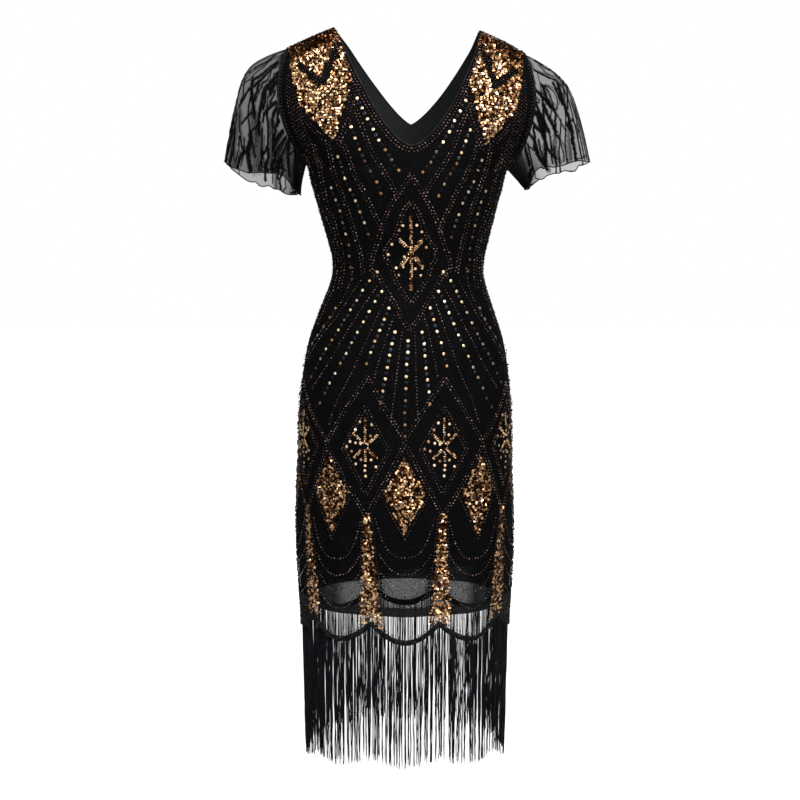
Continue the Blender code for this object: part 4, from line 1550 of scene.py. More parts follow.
EDGE_CREASES = crinkles(
    (1.5, 92, 4, 2, 6, 30, 3, 65, 5, 100),
    (1.1, 80, 350, 5, 355, 40, 353, 75, 356, 100),
    (0.6, 70, 12, 30, 10, 60, 13, 98),
)
HEM_CREASES = crinkles(
    (1.2, 93, 196, 80, 202, 90, 199, 100),
    (1.0, 90, 212, 78, 207, 90, 213, 100),
    (0.9, 88, 226, 82, 219, 92, 224, 100),
    (0.8, 80, 240, 80, 236, 90, 241, 100),
    (0.8, 85, 199, 90, 207, 95, 216, 93, 226, 97),
)
LEFT_CREASES = crinkles(
    (0.8, 85, 18, 8, 27, 16, 24, 31, 0, 45, 15, 61, 9, 82, 8, 99),
    (0.8, 80, 26, 7, 30, 14, 32, 20, 28, 33, 25, 39),
    (1.8, 97, 37, 6, 40, 12, 43, 19, 44, 25, 41, 33),
    (1.7, 95, 41, 33, 44, 37, 41, 46, 37, 53),
    (1.5, 96, 22, 39, 29, 43, 35, 47, 34, 52, 35, 57, 38, 63, 50, 74, 61, 85),
    (1.2, 90, 33, 55, 26, 60, 19, 68, 10, 82, 7, 89),
    (6.9, 60, 27, 65, 24, 77, 24, 87, 32, 95),
    (2.9, 98, 41, 33, 47, 37, 53, 41, 61, 45, 65, 50),
    (7.2, 90, 65, 50, 70, 55, 72, 63, 73, 71, 71, 81),
    (3.1, 97, 66, 66, 68, 73, 67, 82, 72, 89, 78, 97),
    (1.7, 96, 50, 27, 55, 31, 57, 35, 58, 40),
    (0.9, 85, 55, 23, 58, 27, 60, 33, 61, 39),
    (3.0, 98, 57, 4, 60, 13, 62, 22, 66, 29),
    (2.3, 97, 66, 29, 70, 36, 72, 44, 75, 51, 79, 58),
    (0.9, 85, 45, 5, 44, 11, 51, 13, 55, 17, 55, 22),
    (0.8, 85, 72, 6, 71, 15, 72, 23, 79, 30),
    (1.0, 85, 74, 8, 75, 16, 77, 23),
    (1.5, 96, 83, 8, 81, 20, 80, 30, 78, 39, 80, 45),
    (1.9, 97, 87, 10, 87, 22, 89, 29, 93, 37),
    (1.5, 95, 79, 30, 83, 37, 88, 42, 92, 50, 95, 59, 94, 71, 90, 77),
    (0.9, 88, 82, 51, 83, 57, 86, 66, 89, 76, 93, 87, 96, 99),
    (1.5, 96, 98, 16, 97, 32, 99, 39, 100, 48),
    (3.6, 97, 89, 36, 94, 42, 98, 50, 101, 61, 104, 73, 109, 95),
    (2.1, 97, 108, 17, 105, 36, 104, 46, 104, 58),
    (1.7, 95, 115, 14, 112, 38, 109, 53, 109, 65, 110, 82),
    (7.9, 75, 116, 35, 117, 54, 119, 74),
    (2.5, 97, 121, 6, 123, 30, 127, 44, 133, 59, 139, 78),
    (0.8, 85, 135, 0, 130, 20, 128, 34),
    (5.9, 98, 140, 0, 142, 22, 144, 47, 160, 79),
    (2.5, 97, 62, 84, 58, 90, 55, 98),
    (0.7, 85, 37, 83, 42, 90, 45, 99),
    (1.5, 92, 112, 89, 117, 83, 130, 74),
    (1.0, 85, 60, 50, 54, 58, 47, 66),
    (1.8, 90, 99, 84, 100, 91, 105, 97),
    (1.3, 93, 88, 70, 92, 80, 90, 92, 93, 100),
    (1.0, 92, 97, 62, 101, 74, 98, 86, 102, 97),
    (1.8, 95, 104, 58, 111, 70, 108, 84, 113, 96),
    (1.4, 93, 121, 60, 115, 74, 119, 88, 116, 100),
    (2.2, 92, 14, 70, 18, 82, 16, 93, 20, 100),
    (1.5, 92, 32, 72, 35, 80, 31, 90, 36, 100),
    (1.2, 92, 48, 76, 52, 86, 50, 96),
    (0.7, 88, 92, 90, 104, 93, 116, 90, 128, 95),
)
RIGHT_CREASES = crinkles(
    (0.8, 85, 3, 11, 4, 17, 0, 23, 15, 29, 0, 36, 13, 41, 7, 47, 12, 53, 23, 59, 20, 68, 18, 86, 4,
     100),
    (1.4, 70, 15, 11, 18, 15, 22, 19, 17, 25),
    (1.9, 95, 40, 7, 39, 13, 37, 20, 36, 25, 32, 31, 33, 34),
    (3.2, 97, 33, 34, 40, 37, 46, 42, 50, 49, 51, 55, 52, 60),
    (1.2, 92, 54, 51, 63, 60, 73, 73, 79, 90, 81, 100),
    (3.1, 96, 52, 60, 54, 70, 59, 79, 61, 89, 65, 100),
    (4.2, 55, 57, 61, 66, 75, 75, 97),
    (2.4, 96, 40, 30, 44, 34, 49, 39, 51, 44),
    (1.5, 95, 13, 41, 30, 44, 41, 48, 46, 51),
    (1.8, 60, 23, 36, 32, 40, 41, 43),
    (1.4, 94, 46, 60, 44, 66, 41, 72, 46, 78),
    (0.9, 85, 27, 59, 34, 65, 42, 69),
    (0.8, 80, 46, 78, 49, 87, 50, 95, 46, 97),
    (0.7, 75, 28, 94, 49, 97, 61, 98),
    (2.1, 96, 66, 1, 65, 15, 66, 24, 67, 31, 66, 38, 67, 43),
    (1.7, 95, 67, 43, 74, 47, 78, 52, 81, 57),
    (3.9, 95, 81, 57, 88, 63, 92, 73, 93, 84, 92, 92),
    (2.1, 97, 68, 22, 75, 27, 82, 32, 89, 39, 95, 46, 100, 55),
    (2.7, 95, 100, 55, 107, 67, 119, 93),
    (2.4, 97, 72, 26, 76, 34, 78, 41, 79, 48, 80, 55),
    (1.0, 85, 53, 17, 53, 23, 55, 28, 61, 34, 65, 39),
    (1.1, 80, 53, 15, 61, 18, 67, 19),
    (0.8, 80, 51, 22, 50, 27, 50, 33, 55, 39, 63, 42),
    (2.7, 97, 88, 3, 85, 21, 86, 30, 88, 36),
    (2.8, 97, 85, 19, 90, 30, 93, 38, 95, 45),
    (1.8, 95, 96, 13, 96, 28, 95, 38, 97, 45, 99, 53, 99, 67, 96, 84),
    (2.0, 96, 99, 20, 104, 32, 112, 39, 115, 51, 117, 73),
    (2.4, 96, 113, 2, 121, 16, 125, 32, 133, 53),
    (1.0, 90, 123, 0, 130, 0, 134, 18),
    (0.7, 75, 117, 12, 116, 33, 115, 47),
    (0.7, 80, 79, 0, 74, 19),
    (0.8, 85, 72, 4, 72, 18),
    (0.7, 70, 42, 11, 51, 14),
    (10.5, 98, 139, 0, 144, 31, 159, 62, 174, 96),
    (1.0, 85, 79, 59, 80, 72, 82, 84, 86, 95),
    (0.8, 80, 67, 46, 67, 54, 66, 61),
    (2.8, 90, 134, 66, 141, 72, 155, 83),
    (1.8, 90, 20, 30, 24, 45, 28, 60, 30, 78, 31, 97),
    (2.0, 85, 31, 50, 34, 64, 38, 80, 41, 98),
    (1.3, 94, 86, 45, 92, 58, 99, 72, 104, 90),
    (1.2, 95, 103, 40, 108, 52, 112, 66, 116, 84),
    (1.0, 92, 90, 66, 96, 80, 99, 97),
)


@dataclass
class Sleeves:
    """Both sleeves, alike in cut and each with its own creases."""

    net: NetFinish = SLEEVE_NET
    roll: ThreadFinish = SEAM_THREAD

    def build(self) -> None:
        """Makes the left and the right sleeve."""
        net, roll, edges = self.net.build(), self.roll.build(), EDGE_CREASES + HEM_CREASES
        left = LEFT_CREASES + edges + beside(LEFT_CREASES) + behind(LEFT_CREASES[::2])
        right = RIGHT_CREASES + edges + beside(RIGHT_CREASES[::2]) + behind(RIGHT_CREASES[1::3])
        SleeveNet("left", LEFT_SLEEVE, left, 0.58, 52, 1.35).build(net, roll)
        SleeveNet("right", RIGHT_SLEEVE, right, 0.44, 52, 1.25).build(net, roll)


# ---- Fringe ----


@dataclass
class Fringe:
    """Thread fringe under the hem: strands that clump and sway, sewn to a narrow heading."""

    finish: ThreadFinish = FRINGE_THREAD
    strands: int = 620
    segments: int = 12
    radius: float = 0.00044
    tip_z: float = -1.099
    tip_rise: float = 0.012
    tip_spread: float = 0.024
    side_drop: float = 0.013
    side_lean: float = 0.004
    side_reach: float = 0.158
    heading: float = 0.006
    heading_inset: float = 0.0006
    section_z: float = -0.885
    clump: tuple[int, int] = (3, 9)
    pull: Pair = (0.55, 0.97)
    gather_share: float = 0.10

    def strand_lines(self, side: Side, dice: np.random.Generator) -> tuple[Array, Array]:
        """The middle lines of the strands.

        Each strand leaves the heading straight down, is soon drawn along the hem to the middle of
        its clump, then drifts with it and sways with two slow waves of its own.

        Args:
            side: front or back.
            dice: seeded random numbers.

        Returns:
            Points, strand by strand, and the radius at each.
        """
        count = self.strands
        root = np.sort(dice.uniform(-0.999, 0.999, count))
        sizes = dice.integers(*self.clump, count)
        clump = np.searchsorted(np.cumsum(sizes), np.arange(count), side="right")
        middle = np.array([root[clump == number].mean() for number in range(clump.max() + 1)])
        pull = dice.uniform(*self.pull, count)
        drift = dice.normal(0, 0.0055, len(middle))[clump] + dice.normal(0, 0.0016, count)
        t = np.linspace(0, 1, self.segments + 1)
        gather = (1 - np.exp(-t / self.gather_share)) * (0.25 + 0.75 * t**1.5)
        height = dice.uniform(0.0002, 0.0011, (2, count, 1))
        turns = t * dice.uniform(0.7, 3.4, (2, count, 1)) + dice.uniform(0, 1, (2, count, 1))
        wave = height * np.sin(2 * math.pi * turns) * np.sqrt(t)
        share = root[:, None] + ((middle[clump] - root) * pull)[:, None] * gather
        share = np.clip(share + drift[:, None] * t**1.3, -1, 1)
        line = FORM.body(side, share, np.full_like(share, self.section_z), -self.heading_inset)
        top = FORM.scallop_z(root) - 0.5 * self.heading
        low = (FORM.scallop_z(root) - FORM.hem_cusp_z + FORM.scallop_drop) / FORM.scallop_drop
        outwards = line[:, 0, 0] / self.side_reach
        tip = self.tip_z + self.tip_rise * low - self.side_drop * outwards**4
        tip = tip + self.tip_spread * dice.beta(2.0, 3.5, count)
        line[..., 0] += wave[0] - self.side_lean * (outwards**5)[:, None] * t
        line[..., 1] += wave[1] * 1.4 + side.value * 0.001 * dice.uniform(-1, 1, (count, 1)) * t
        line[..., 2] = top[:, None] + (tip - top)[:, None] * t
        return line, self.radius * dice.uniform(0.7, 1.35, (count, 1)) * (0.75 + 1.9 * t * (1 - t))

    def strands_mesh(self, side: Side, seed: int) -> MeshData:
        """Three-sided strands, closed at both ends.

        Args:
            side: front or back.
            seed: starts the strands' random numbers.

        Returns:
            The mesh.
        """
        dice = np.random.default_rng(seed)
        line, thick = self.strand_lines(side, dice)
        count, stations = line.shape[:2]
        turn = np.arange(3) * 2 * math.pi / 3 + dice.uniform(0, 2, (count, 1))
        ring = np.stack([np.cos(turn), np.sin(turn), 0 * turn], -1)
        points = line[:, :, None] + thick[..., None, None] * ring[:, None]
        quads, last = grid_faces(stations, 3, wrap=True), 3 * (stations - 1)
        ends = [[0, 1, 2], [last, last + 2, last + 1]]
        faces = np.concatenate([quads[:, [0, 2, 1]], quads[:, [0, 3, 2]], ends])
        faces = faces[None] + np.arange(count)[:, None, None] * 3 * stations
        return MeshData(points.reshape(-1, 3), faces.reshape(-1, 3), {})

    def heading_mesh(self, side: Side) -> MeshData:
        """The narrow heading, a flat cord just behind the hem's edge.

        Args:
            side: front or back.

        Returns:
            The mesh.
        """
        share = np.linspace(-0.9999, 0.9999, 321)
        spots = np.stack([share * ARC, FORM.scallop_z(share) - 0.1 * self.heading], -1)
        place, out = by_arc(side).at(spots, -self.heading_inset - 0.0006)
        return tube(place, self.heading / 2, 6, out, 0.22)

    def build(self) -> None:
        """Makes both fringes."""
        material = self.finish.build()
        for seed, side in enumerate(Side, 11):
            data = joined([self.strands_mesh(side, seed), self.heading_mesh(side)])
            name = f"fringe_{side.word}"
            make_piece(f"thread_{name}", data, material, name)


# Pattern tables, in mm from the centre line (or hundredths of a quarter's arc) and Z in mm. Each
# line is drawn on both halves.

Line = Array


def lines_of(*rows: Sequence[float]) -> tuple[Line, ...]:
    """Lines of points from rows of numbers, two for each point."""
    return tuple(np.reshape(row, (-1, 2)) for row in rows)


BODICE_LINES = lines_of(
    (91, -99, 78, -121, 56, -176, 38, -205, 22, -232, 19, -241),
    (99, -157, 91, -177, 78, -211, 66, -232, 53, -260, 44, -281, 41, -290),
    (118, -162, 114, -180, 111, -196, 105, -216, 95, -242, 85, -272, 77, -303, 71, -328, 68, -352),
    (137, -168, 133, -186, 127, -206, 123, -229, 119, -249, 109, -278, 103, -303, 98, -325, 97,
     -344, 101, -378),
    (154, -183, 145, -200, 139, -214, 136, -228, 129, -256, 119, -280, 112, -296, 107, -316, 106,
     -338, 111, -372, 122, -400, 135, -432),
)
DIAMOND_LINES = lines_of(
    (0, -207, 8, -220, 20, -239, 30, -255, 38, -275, 44, -294, 50, -312, 55, -328, 58, -345),
    (58, -345, 46, -354, 39, -368, 22, -395, 12, -414, 0, -432),
    (0, -246, 9, -258, 16, -276, 21, -292, 28, -303, 38, -318),
    (38, -318, 36, -328, 29, -341, 23, -358, 14, -374, 0, -394),
)
STUD_LINES = lines_of(
    (77, -102, 62, -131, 46, -160, 36, -175, 27, -190, 16, -205),
    (86, -139, 72, -176, 65, -191, 56, -207, 46, -223, 40, -238),
    (103, -185, 97, -203, 91, -219, 83, -234, 75, -251, 69, -268, 63, -285, 57, -304),
    (113, -226, 107, -242, 101, -258, 97, -276, 92, -294, 88, -312, 88, -329, 86, -347, 84, -365),
)
BACK_LINES = lines_of(
    (66, -112, 48, -146, 31, -172, 14, -194, 0, -204),
)
PATCH_EDGE = lines_of(
    (108.8, -162.2, 101, -141.3, 97.4, -128.4, 92.8, -109, 88.4, -93.4, 84.3, -78.6, 88.3, -59.3,
     93, -43.6, 99.1, -24.7, 104.5, 2.0, 171, -27, 168.6, -48.5, 164.3, -77.4, 155, -112.4, 145.5,
     -126.2, 135.9, -136, 123.6, -146.3),
)[0]
PATCH_CHEVRON = lines_of(
    (154.9, -57.2, 140, -70, 123.8, -81.2, 117, -62.5, 109.3, -41.7, 103.3, -26.2),
)[0]
PATCH_BORDERS = lines_of(
    (80, -80, 84, -104, 90, -124, 108, -163),
    (75, -84, 78, -104, 84, -124, 103, -170),
    (161, -98, 151, -124, 137, -143, 120, -158),
    (160, -112, 148, -136, 134, -152, 124, -163),
)
BEAD_RAYS = lines_of(
    (4.6, -434, 5.8, -457, 6.1, -478, 6.7, -498, 7.8, -529, 9, -567),
    (12.2, -410, 14.8, -429, 17.7, -456, 20, -478, 22, -500),
    (21, -386, 25.5, -410, 29, -433, 33, -459, 37.8, -490, 43, -515, 47, -533, 53, -572),
    (30.9, -370, 39, -396, 44.5, -419, 50, -444, 55.5, -470, 62, -494, 72, -524),
    (47.4, -362, 54.2, -384, 58.5, -401, 63, -417, 70, -438, 78, -462, 85, -485),
    (57, -345, 60, -380, 66, -410, 74, -436, 83, -462, 92, -490),
)
STUD_RAYS = lines_of(
    (0, -446, 0, -588),
    (10, -430, 11.5, -447, 12.5, -465, 13.5, -485, 14.5, -502, 15.7, -520, 17, -545),
    (17.4, -400, 20, -417, 22.5, -434, 25, -451, 27, -468, 29, -485),
    (24.1, -373, 28.9, -385, 32.6, -402, 36, -418, 39.2, -434, 42.2, -451, 45, -465, 48.3, -482,
     51.7, -497, 55.5, -512, 60, -535, 66, -553),
    (31.4, -349, 40, -365, 44.4, -380, 48.3, -395, 52, -411, 55.2, -426, 58.3, -442, 61.5, -456,
     66, -473, 72, -497, 79, -520),
    (66.5, -400, 71, -422, 79, -448, 88, -476),
)
PATTERN_HEIGHTS = (-0.50, -0.60, -0.67, -0.72, -0.80, -0.87)
PATTERN_SHARES = (
    (0.0, 0.0, 0.0, 0.0, 0.0, 0.0),
    (0.268, 0.262, 0.257, 0.252, 0.247, 0.249),
    (0.560, 0.547, 0.508, 0.507, 0.506, 0.505),
    (0.870, 0.800, 0.765, 0.740, 0.722, 0.745),
    (1.0, 1.0, 1.0, 1.0, 1.0, 1.0),
)
ZIGZAGS = (
    ((0, -588), (1, -499), (2, -598), (3, -517), (4, -600)),
    ((0, -594), (1, -705), (2, -604), (3, -712), (4, -606)),
)
BODICE_STAR_ARMS = lines_of(
    (0, 53, 0, 5),
    (0, -5, 0, -56),
    (-17, 20, -4, 6),
    (17, 20, 4, 5),
    (-17, -22, -4, -4),
    (17, -22, 5, -5),
    (-4, 0, 5, 0),
)
BODICE_STAR_SPOTS = lines_of(
    (-16.7, 32.3, -26.2, 13.6, -32, -3.2, 9.5, 41.3, -10.1, 41.3, 14.8, 31.1, 12.5, 16.2, 22.6,
     9.2, -9.3, -6.4, 7, -11, -11.6, -21.3, 6.3, -21.3, -21, -21.3, 15.6, -20.3, -18.2, -32.9, 14.5,
     -34),
)[0]
SKIRT_STAR_ARMS = lines_of(
    (0, 41, 0, 4),
    (0, -5, 0, -22),
    (-18, 19, -3, 3),
    (18, 17, 3, 3),
    (-17, -17, -3, -3),
    (17, -17, 3, -3),
)
SKIRT_STAR_SPOTS = lines_of(
    (-8.9, 35.6, -15.5, 25, -24, 7.2, -14.8, 4.2, -7.4, 3.2, -30, -2.8, -21.8, -7.8, 9.1, 31.8,
     8.5, 16.5, -8, -20, 7.4, -20.5, -15.5, -27, 15.9, -30.7, 0, -28, 0, -36, 0, -44),
)[0]
ARC_LEVELS = ((-766, 59, 3.0), (-792, 32, 2.2), (-817, 28, 2.0), (-844, 24, 2.0), (-864, 22, 2.0))
COLUMN_HALF = SmoothCurve(
    (-0.699, -0.712, -0.739, -0.762, -0.784, -0.807, -0.830, -0.853, -0.882),
    (0.0035, 0.0050, 0.0072, 0.0090, 0.0110, 0.0130, 0.0150, 0.0165, 0.0176),
)


def pattern_arc(number: int, z: Amount) -> Array:
    """Distance round the skirt of one of the pattern's upright axes at a height.

    Args:
        number: 0 on the centre line to 4 on the side seam, negative on the other half.
        z: heights.

    Returns:
        Signed distances from the centre line.
    """
    share = SmoothCurve(PATTERN_HEIGHTS, PATTERN_SHARES[abs(number)])(z)
    return math.copysign(ARC, number) * share


def smooth_line(points: Array) -> Array:
    """A dense line through a pattern line's points, each coordinate smooth over the length.

    Args:
        points: the pattern line's points.

    Returns:
        The dense line.
    """
    length = np.concatenate([[0.0], np.cumsum(np.linalg.norm(np.diff(points, axis=0), axis=1))])
    fine = np.linspace(0, length[-1], max(int(length[-1] / 5e-4), 2))
    return np.stack([SmoothCurve(length, column)(fine) for column in points.T], -1)


def shifted(line: Array, distance: float) -> Array:
    """The line moved sideways by a distance, to the left of its own direction."""
    along = unit(np.gradient(line, axis=0))
    return line + distance * np.stack([-along[:, 1], along[:, 0]], -1)


def inside(spots: Array, corners: Array) -> Array:
    """Which spots lie in a polygon: an odd number of edges cross the ray to their right.

    Args:
        spots: places across and up.
        corners: the polygon's corners.

    Returns:
        True for each spot within.
    """
    x, y = spots[..., 0, None], spots[..., 1, None]
    start, end = corners, np.roll(corners, -1, axis=0)
    spans = (start[:, 1] > y) != (end[:, 1] > y)
    rise = np.where(end[:, 1] == start[:, 1], 1.0, end[:, 1] - start[:, 1])
    crossing = start[:, 0] + (y - start[:, 1]) / rise * (end[:, 0] - start[:, 0])
    return (spans & (x < crossing)).sum(axis=-1) % 2 == 1


def line_gap(spots: Array, line: Array) -> Array:
    """Distance from each spot to a line of points.

    Args:
        spots: places across and up.
        line: its points.

    Returns:
        Distances.
    """
    best = np.full(spots.shape[:-1], np.inf)
    for start, end in zip(line[:-1], line[1:], strict=True):
        run = end - start
        t = np.clip(((spots - start) @ run) / (run @ run), 0, 1)
        best = np.minimum(best, np.linalg.norm(spots - start - t[..., None] * run, axis=-1))
    return best


@dataclass
class Needlework:
    """Beads, spangles, bugles and sequins of one side of the dress, with its own unevenness."""

    side: Side
    dice: np.random.Generator
    bead_size: float = 0.00185
    bead_pitch: float = 0.0050
    bead_lift: float = 0.36
    row_gap: float = 0.0044
    stud_size: float = 0.0049
    stud_pitch: float = 0.0087
    stud_lift: float = 0.0004
    loose_stud_size: float = 0.0045
    sequin_size: float = 0.0031
    sequin_pitch: float = 0.0039
    sequin_tilt: float = 0.33
    sequin_overlap: float = 1.6
    bugle_size: float = 0.0021
    bugle_pitch: float = 0.0033
    wander: float = 0.0003
    neck_rows: Pair = (0.0040, 0.0088)
    chevron_half: float = 0.0050
    dull_strip: float = 0.023
    armhole_rolls: Pair = (-0.0004, 0.0028)
    armhole_roll_size: float = 0.0030
    armhole_rows: tuple[float, ...] = (0.0120, 0.0156, 0.0192, 0.0228, 0.0264)
    edge_room: float = 0.003
    arm_width: float = 0.0042
    hem_room: float = 0.0068
    hem_rows: Pair = (0.0095, 0.0065)
    side_arcs_drop: float = 0.0075
    column_ends: Pair = (-0.699, -0.884)
    column_edge: float = 0.0026
    arc_room: float = 0.0045
    hips_z: float = -0.46
    units: dict[Unit, Scatter] = field(
        default_factory=lambda: {kind: Scatter(kind) for kind in Unit}
    )

    def build(self) -> None:
        """Stitches the whole pattern of the side."""
        for hand in HANDS:
            self.bodice(hand)
            self.patch(hand)
            self.skirt(hand)
        self.diamonds()

    def shaken(self, values: Array, by: float) -> Array:
        """The values, each a little off."""
        return values + self.dice.normal(0, by, values.shape)

    def spaced(
        self, placer: Placer, line: Array, pitch: float, phase: float = 0.0
    ) -> tuple[Array, Array]:
        """Spots at an even distance along the cloth.

        Args:
            placer: where the line's spots lie.
            line: dense line, in metres across and up.
            pitch: distance between spots on the cloth.
            phase: share of a pitch before the first one.

        Returns:
            The spots, and the direction of the line at each on the cloth.
        """
        places = placer.place(line[:, 0], line[:, 1])
        length = np.concatenate([[0.0], np.cumsum(np.linalg.norm(np.diff(places, axis=0), axis=1))])
        at = np.arange(phase * pitch, length[-1] + 1e-9, pitch)
        table = np.concatenate([line, np.gradient(places, axis=0)], axis=1)
        table = np.stack([np.interp(at, length, column) for column in table.T], -1)
        kept = placer.on_cloth(table[:, :2])
        return table[kept, :2], unit(table[kept, 2:])

    def bead_line(
        self,
        placer: Placer,
        line: Array,
        rows: int = 2,
        tone: Pair = (0.05, 0.86),
        size: float = bead_size,
    ) -> None:
        """Stitches rows of seed beads, staggered from row to row.

        Args:
            placer: where the line's spots lie.
            line: dense line in metres.
            rows: how many rows side by side.
            tone: lowest and highest tone.
            size: width of a bead.
        """
        for row in range(rows):
            beside = shifted(line, (row - (rows - 1) / 2) * self.row_gap)
            spots, along = self.spaced(placer, beside, self.bead_pitch, 0.5 * (row % 2))
            places, out = placer.at(self.shaken(spots, self.wander), size * self.bead_lift)
            sizes = size * self.dice.uniform(0.8, 1.15, len(spots))
            tones = tone[0] + (tone[1] - tone[0]) * self.dice.beta(0.8, 0.75, len(spots))
            self.units[Unit.BEAD].add(places, out, along, sizes, tones)

    def stud_line(
        self, placer: Placer, line: Array, dim_from: float = 1.0, phase: float = 0.0
    ) -> None:
        """Sews round spangles, champagne and gunmetal by turns, dull bronze towards the end.

        Args:
            placer: where the line's spots lie.
            line: dense line in metres.
            dim_from: share of the line after which they are dull.
            phase: share of a pitch before the first one.
        """
        spots, along = self.spaced(placer, line, self.stud_pitch, phase)
        count, number = len(spots), np.arange(len(spots))
        places, out = placer.at(self.shaken(spots, self.wander), self.stud_lift)
        gold = 0.62 + 0.38 * self.dice.beta(1.3, 0.7, count)
        tone = np.where(number % 2 == 0, gold, self.dice.uniform(0.02, 0.24, count))
        dull = np.where(tone > 0.5, self.dice.uniform(0.42, 0.62, count), 0.04)
        tone = np.where(number / max(count - 1, 1) > dim_from, dull, tone)
        out = unit(self.shaken(out, 0.07))
        self.units[Unit.SPANGLE].add(places, out, along, self.stud_size, tone)

    def star(
        self, placer: Placer, centre: Pair, arms: Sequence[Line], spots: Line, width: float
    ) -> None:
        """A star of bugle beads with loose spangles between its arms.

        Each arm is a herringbone: pairs of bugles that lean outwards, duller towards its far end.

        Args:
            placer: where its spots lie.
            centre: its middle, in metres.
            arms: lines from the middle, in mm.
            spots: spangles round it, in mm.
            width: width of an arm, in metres.
        """
        for arm in arms:
            wide = width * (0.85 if arm[0][0] == 0 else 1.0)
            line = smooth_line(arm * 1e-3 + centre)
            beads, along = self.spaced(placer, line, self.bugle_pitch)
            places, out = placer.at(beads, self.bugle_size * 0.55)
            across = np.cross(out, along)
            fade = np.clip(1.15 - np.linalg.norm(beads - centre, axis=-1) / 0.075, 0.4, 1.0)
            for hand in HANDS:
                tone = self.dice.beta(0.6, 0.5, len(along)) * fade
                tilt = unit(self.shaken(out, 0.18))
                long = wide * 0.62 / self.bugle_size * self.dice.uniform(0.85, 1.15, len(along))
                middle, lean = places + hand * across * wide / 4, hand * across + 0.7 * along
                self.units[Unit.BUGLE].add(middle, tilt, lean, self.bugle_size, tone, long)
        places, out = placer.at(self.shaken(spots * 1e-3 + centre, 0.0007), self.stud_lift)
        out = unit(self.shaken(out, 0.1))
        tone = self.dice.choice([1.0, 0.95, 0.9, 0.85, 0.65], len(places))
        along = np.array([1.0, 0, 0.3])
        self.units[Unit.SPANGLE].add(places, out, along, self.loose_stud_size, tone)

    def strew(self, places: Array, out: Array, low: float, high: float) -> None:
        """Adds sequins at places on the cloth, with tones from low to high and their own tilts.

        Args:
            places: where they lie on the cloth.
            out: direction out of the cloth at each.
            low: lowest tone.
            high: highest tone.
        """
        count = len(places)
        # Tones crowd near both ends at random: painted shade and painted glints added to the tilts'
        # glitter.
        tone = low + (high - low) * self.dice.beta(0.40, 0.36, count)
        out = unit(self.shaken(out, self.sequin_tilt))
        along = self.dice.normal(0, 1, (count, 3))
        size = self.sequin_size * self.dice.uniform(0.85, 1.15, count)
        self.units[Unit.SEQUIN].add(places, out, along, size, tone, self.sequin_overlap)

    def fill(
        self,
        placer: Placer,
        corners: Array,
        low: float,
        high: float,
        free: Callable[[Array], Array],
    ) -> None:
        """Fills a polygon with overlapping sequins, in staggered and slightly uneven rows.

        Args:
            placer: where its spots lie.
            corners: of the polygon, in metres.
            low: lowest tone.
            high: highest tone.
            free: which spots may have a sequin.
        """
        left, right, pitch = corners.min(axis=0), corners.max(axis=0), self.sequin_pitch
        rows = np.arange(left[1], right[1], pitch * 0.87)
        x, z = np.meshgrid(np.arange(left[0] - pitch, right[0], pitch), rows)
        x = x + (np.arange(len(rows)) % 2)[:, None] * pitch / 2
        spots = self.shaken(np.stack([x, z], -1).reshape(-1, 2), 0.00055)
        spots = spots[inside(spots, corners)]
        places, out = placer.at(spots[free(spots)], 0.0007)
        self.strew(places + out * self.dice.uniform(0, 0.0006, (len(places), 1)), out, low, high)

    def lines(
        self, table: Iterable[Line], hand: float, scale: Pair = (1e-3, 1e-3)
    ) -> list[Array]:
        """Dense lines of a table on one half."""
        return [smooth_line(line * scale * (hand, 1.0)) for line in table]

    def bodice(self, hand: float) -> None:
        """Neck border, slanting double lines, studs and the long diamonds of one half.

        Args:
            hand: 1 for the half towards +X, -1 for the other.
        """
        placer = by_distance(self.side)
        self.neck_border(placer, hand)
        for line in self.lines((*BODICE_LINES, *DIAMOND_LINES), hand):
            self.bead_line(placer, line)
        studs = STUD_LINES if self.side is Side.FRONT else STUD_LINES[1:]
        for number, line in enumerate(self.lines(studs, hand)):
            self.stud_line(placer, line, (0.62, 0.45, 0.8, 0.5)[number], 0.5 * (number % 2))
        if self.side is Side.BACK:
            for line in self.lines(BACK_LINES, hand):
                self.bead_line(placer, line)

    def neck_border(self, placer: Placer, hand: float) -> None:
        """Two rows of beads along the neckline, which meet below the V's point.

        Args:
            placer: where its spots lie.
            hand: 1 for the half towards +X, -1 for the other.
        """
        z = -FORM.neck_depth(self.side) * (1 - np.linspace(0, 1, 500) ** 2 * 0.985)
        edge = np.stack([FORM.neckline_x(self.side, z), z], -1)
        for number, off in enumerate(self.neck_rows):
            row = shifted(edge, -off)
            row = row[row[:, 0] > 0.0012] * (hand, 1.0)
            spots, along = self.spaced(placer, row, self.bead_pitch, 0.5 * number)
            places, out = placer.at(spots, self.bead_size * self.bead_lift)
            tone = self.dice.uniform(0.3, 0.85, len(spots))
            self.units[Unit.BEAD].add(places, out, along, self.bead_size, tone)

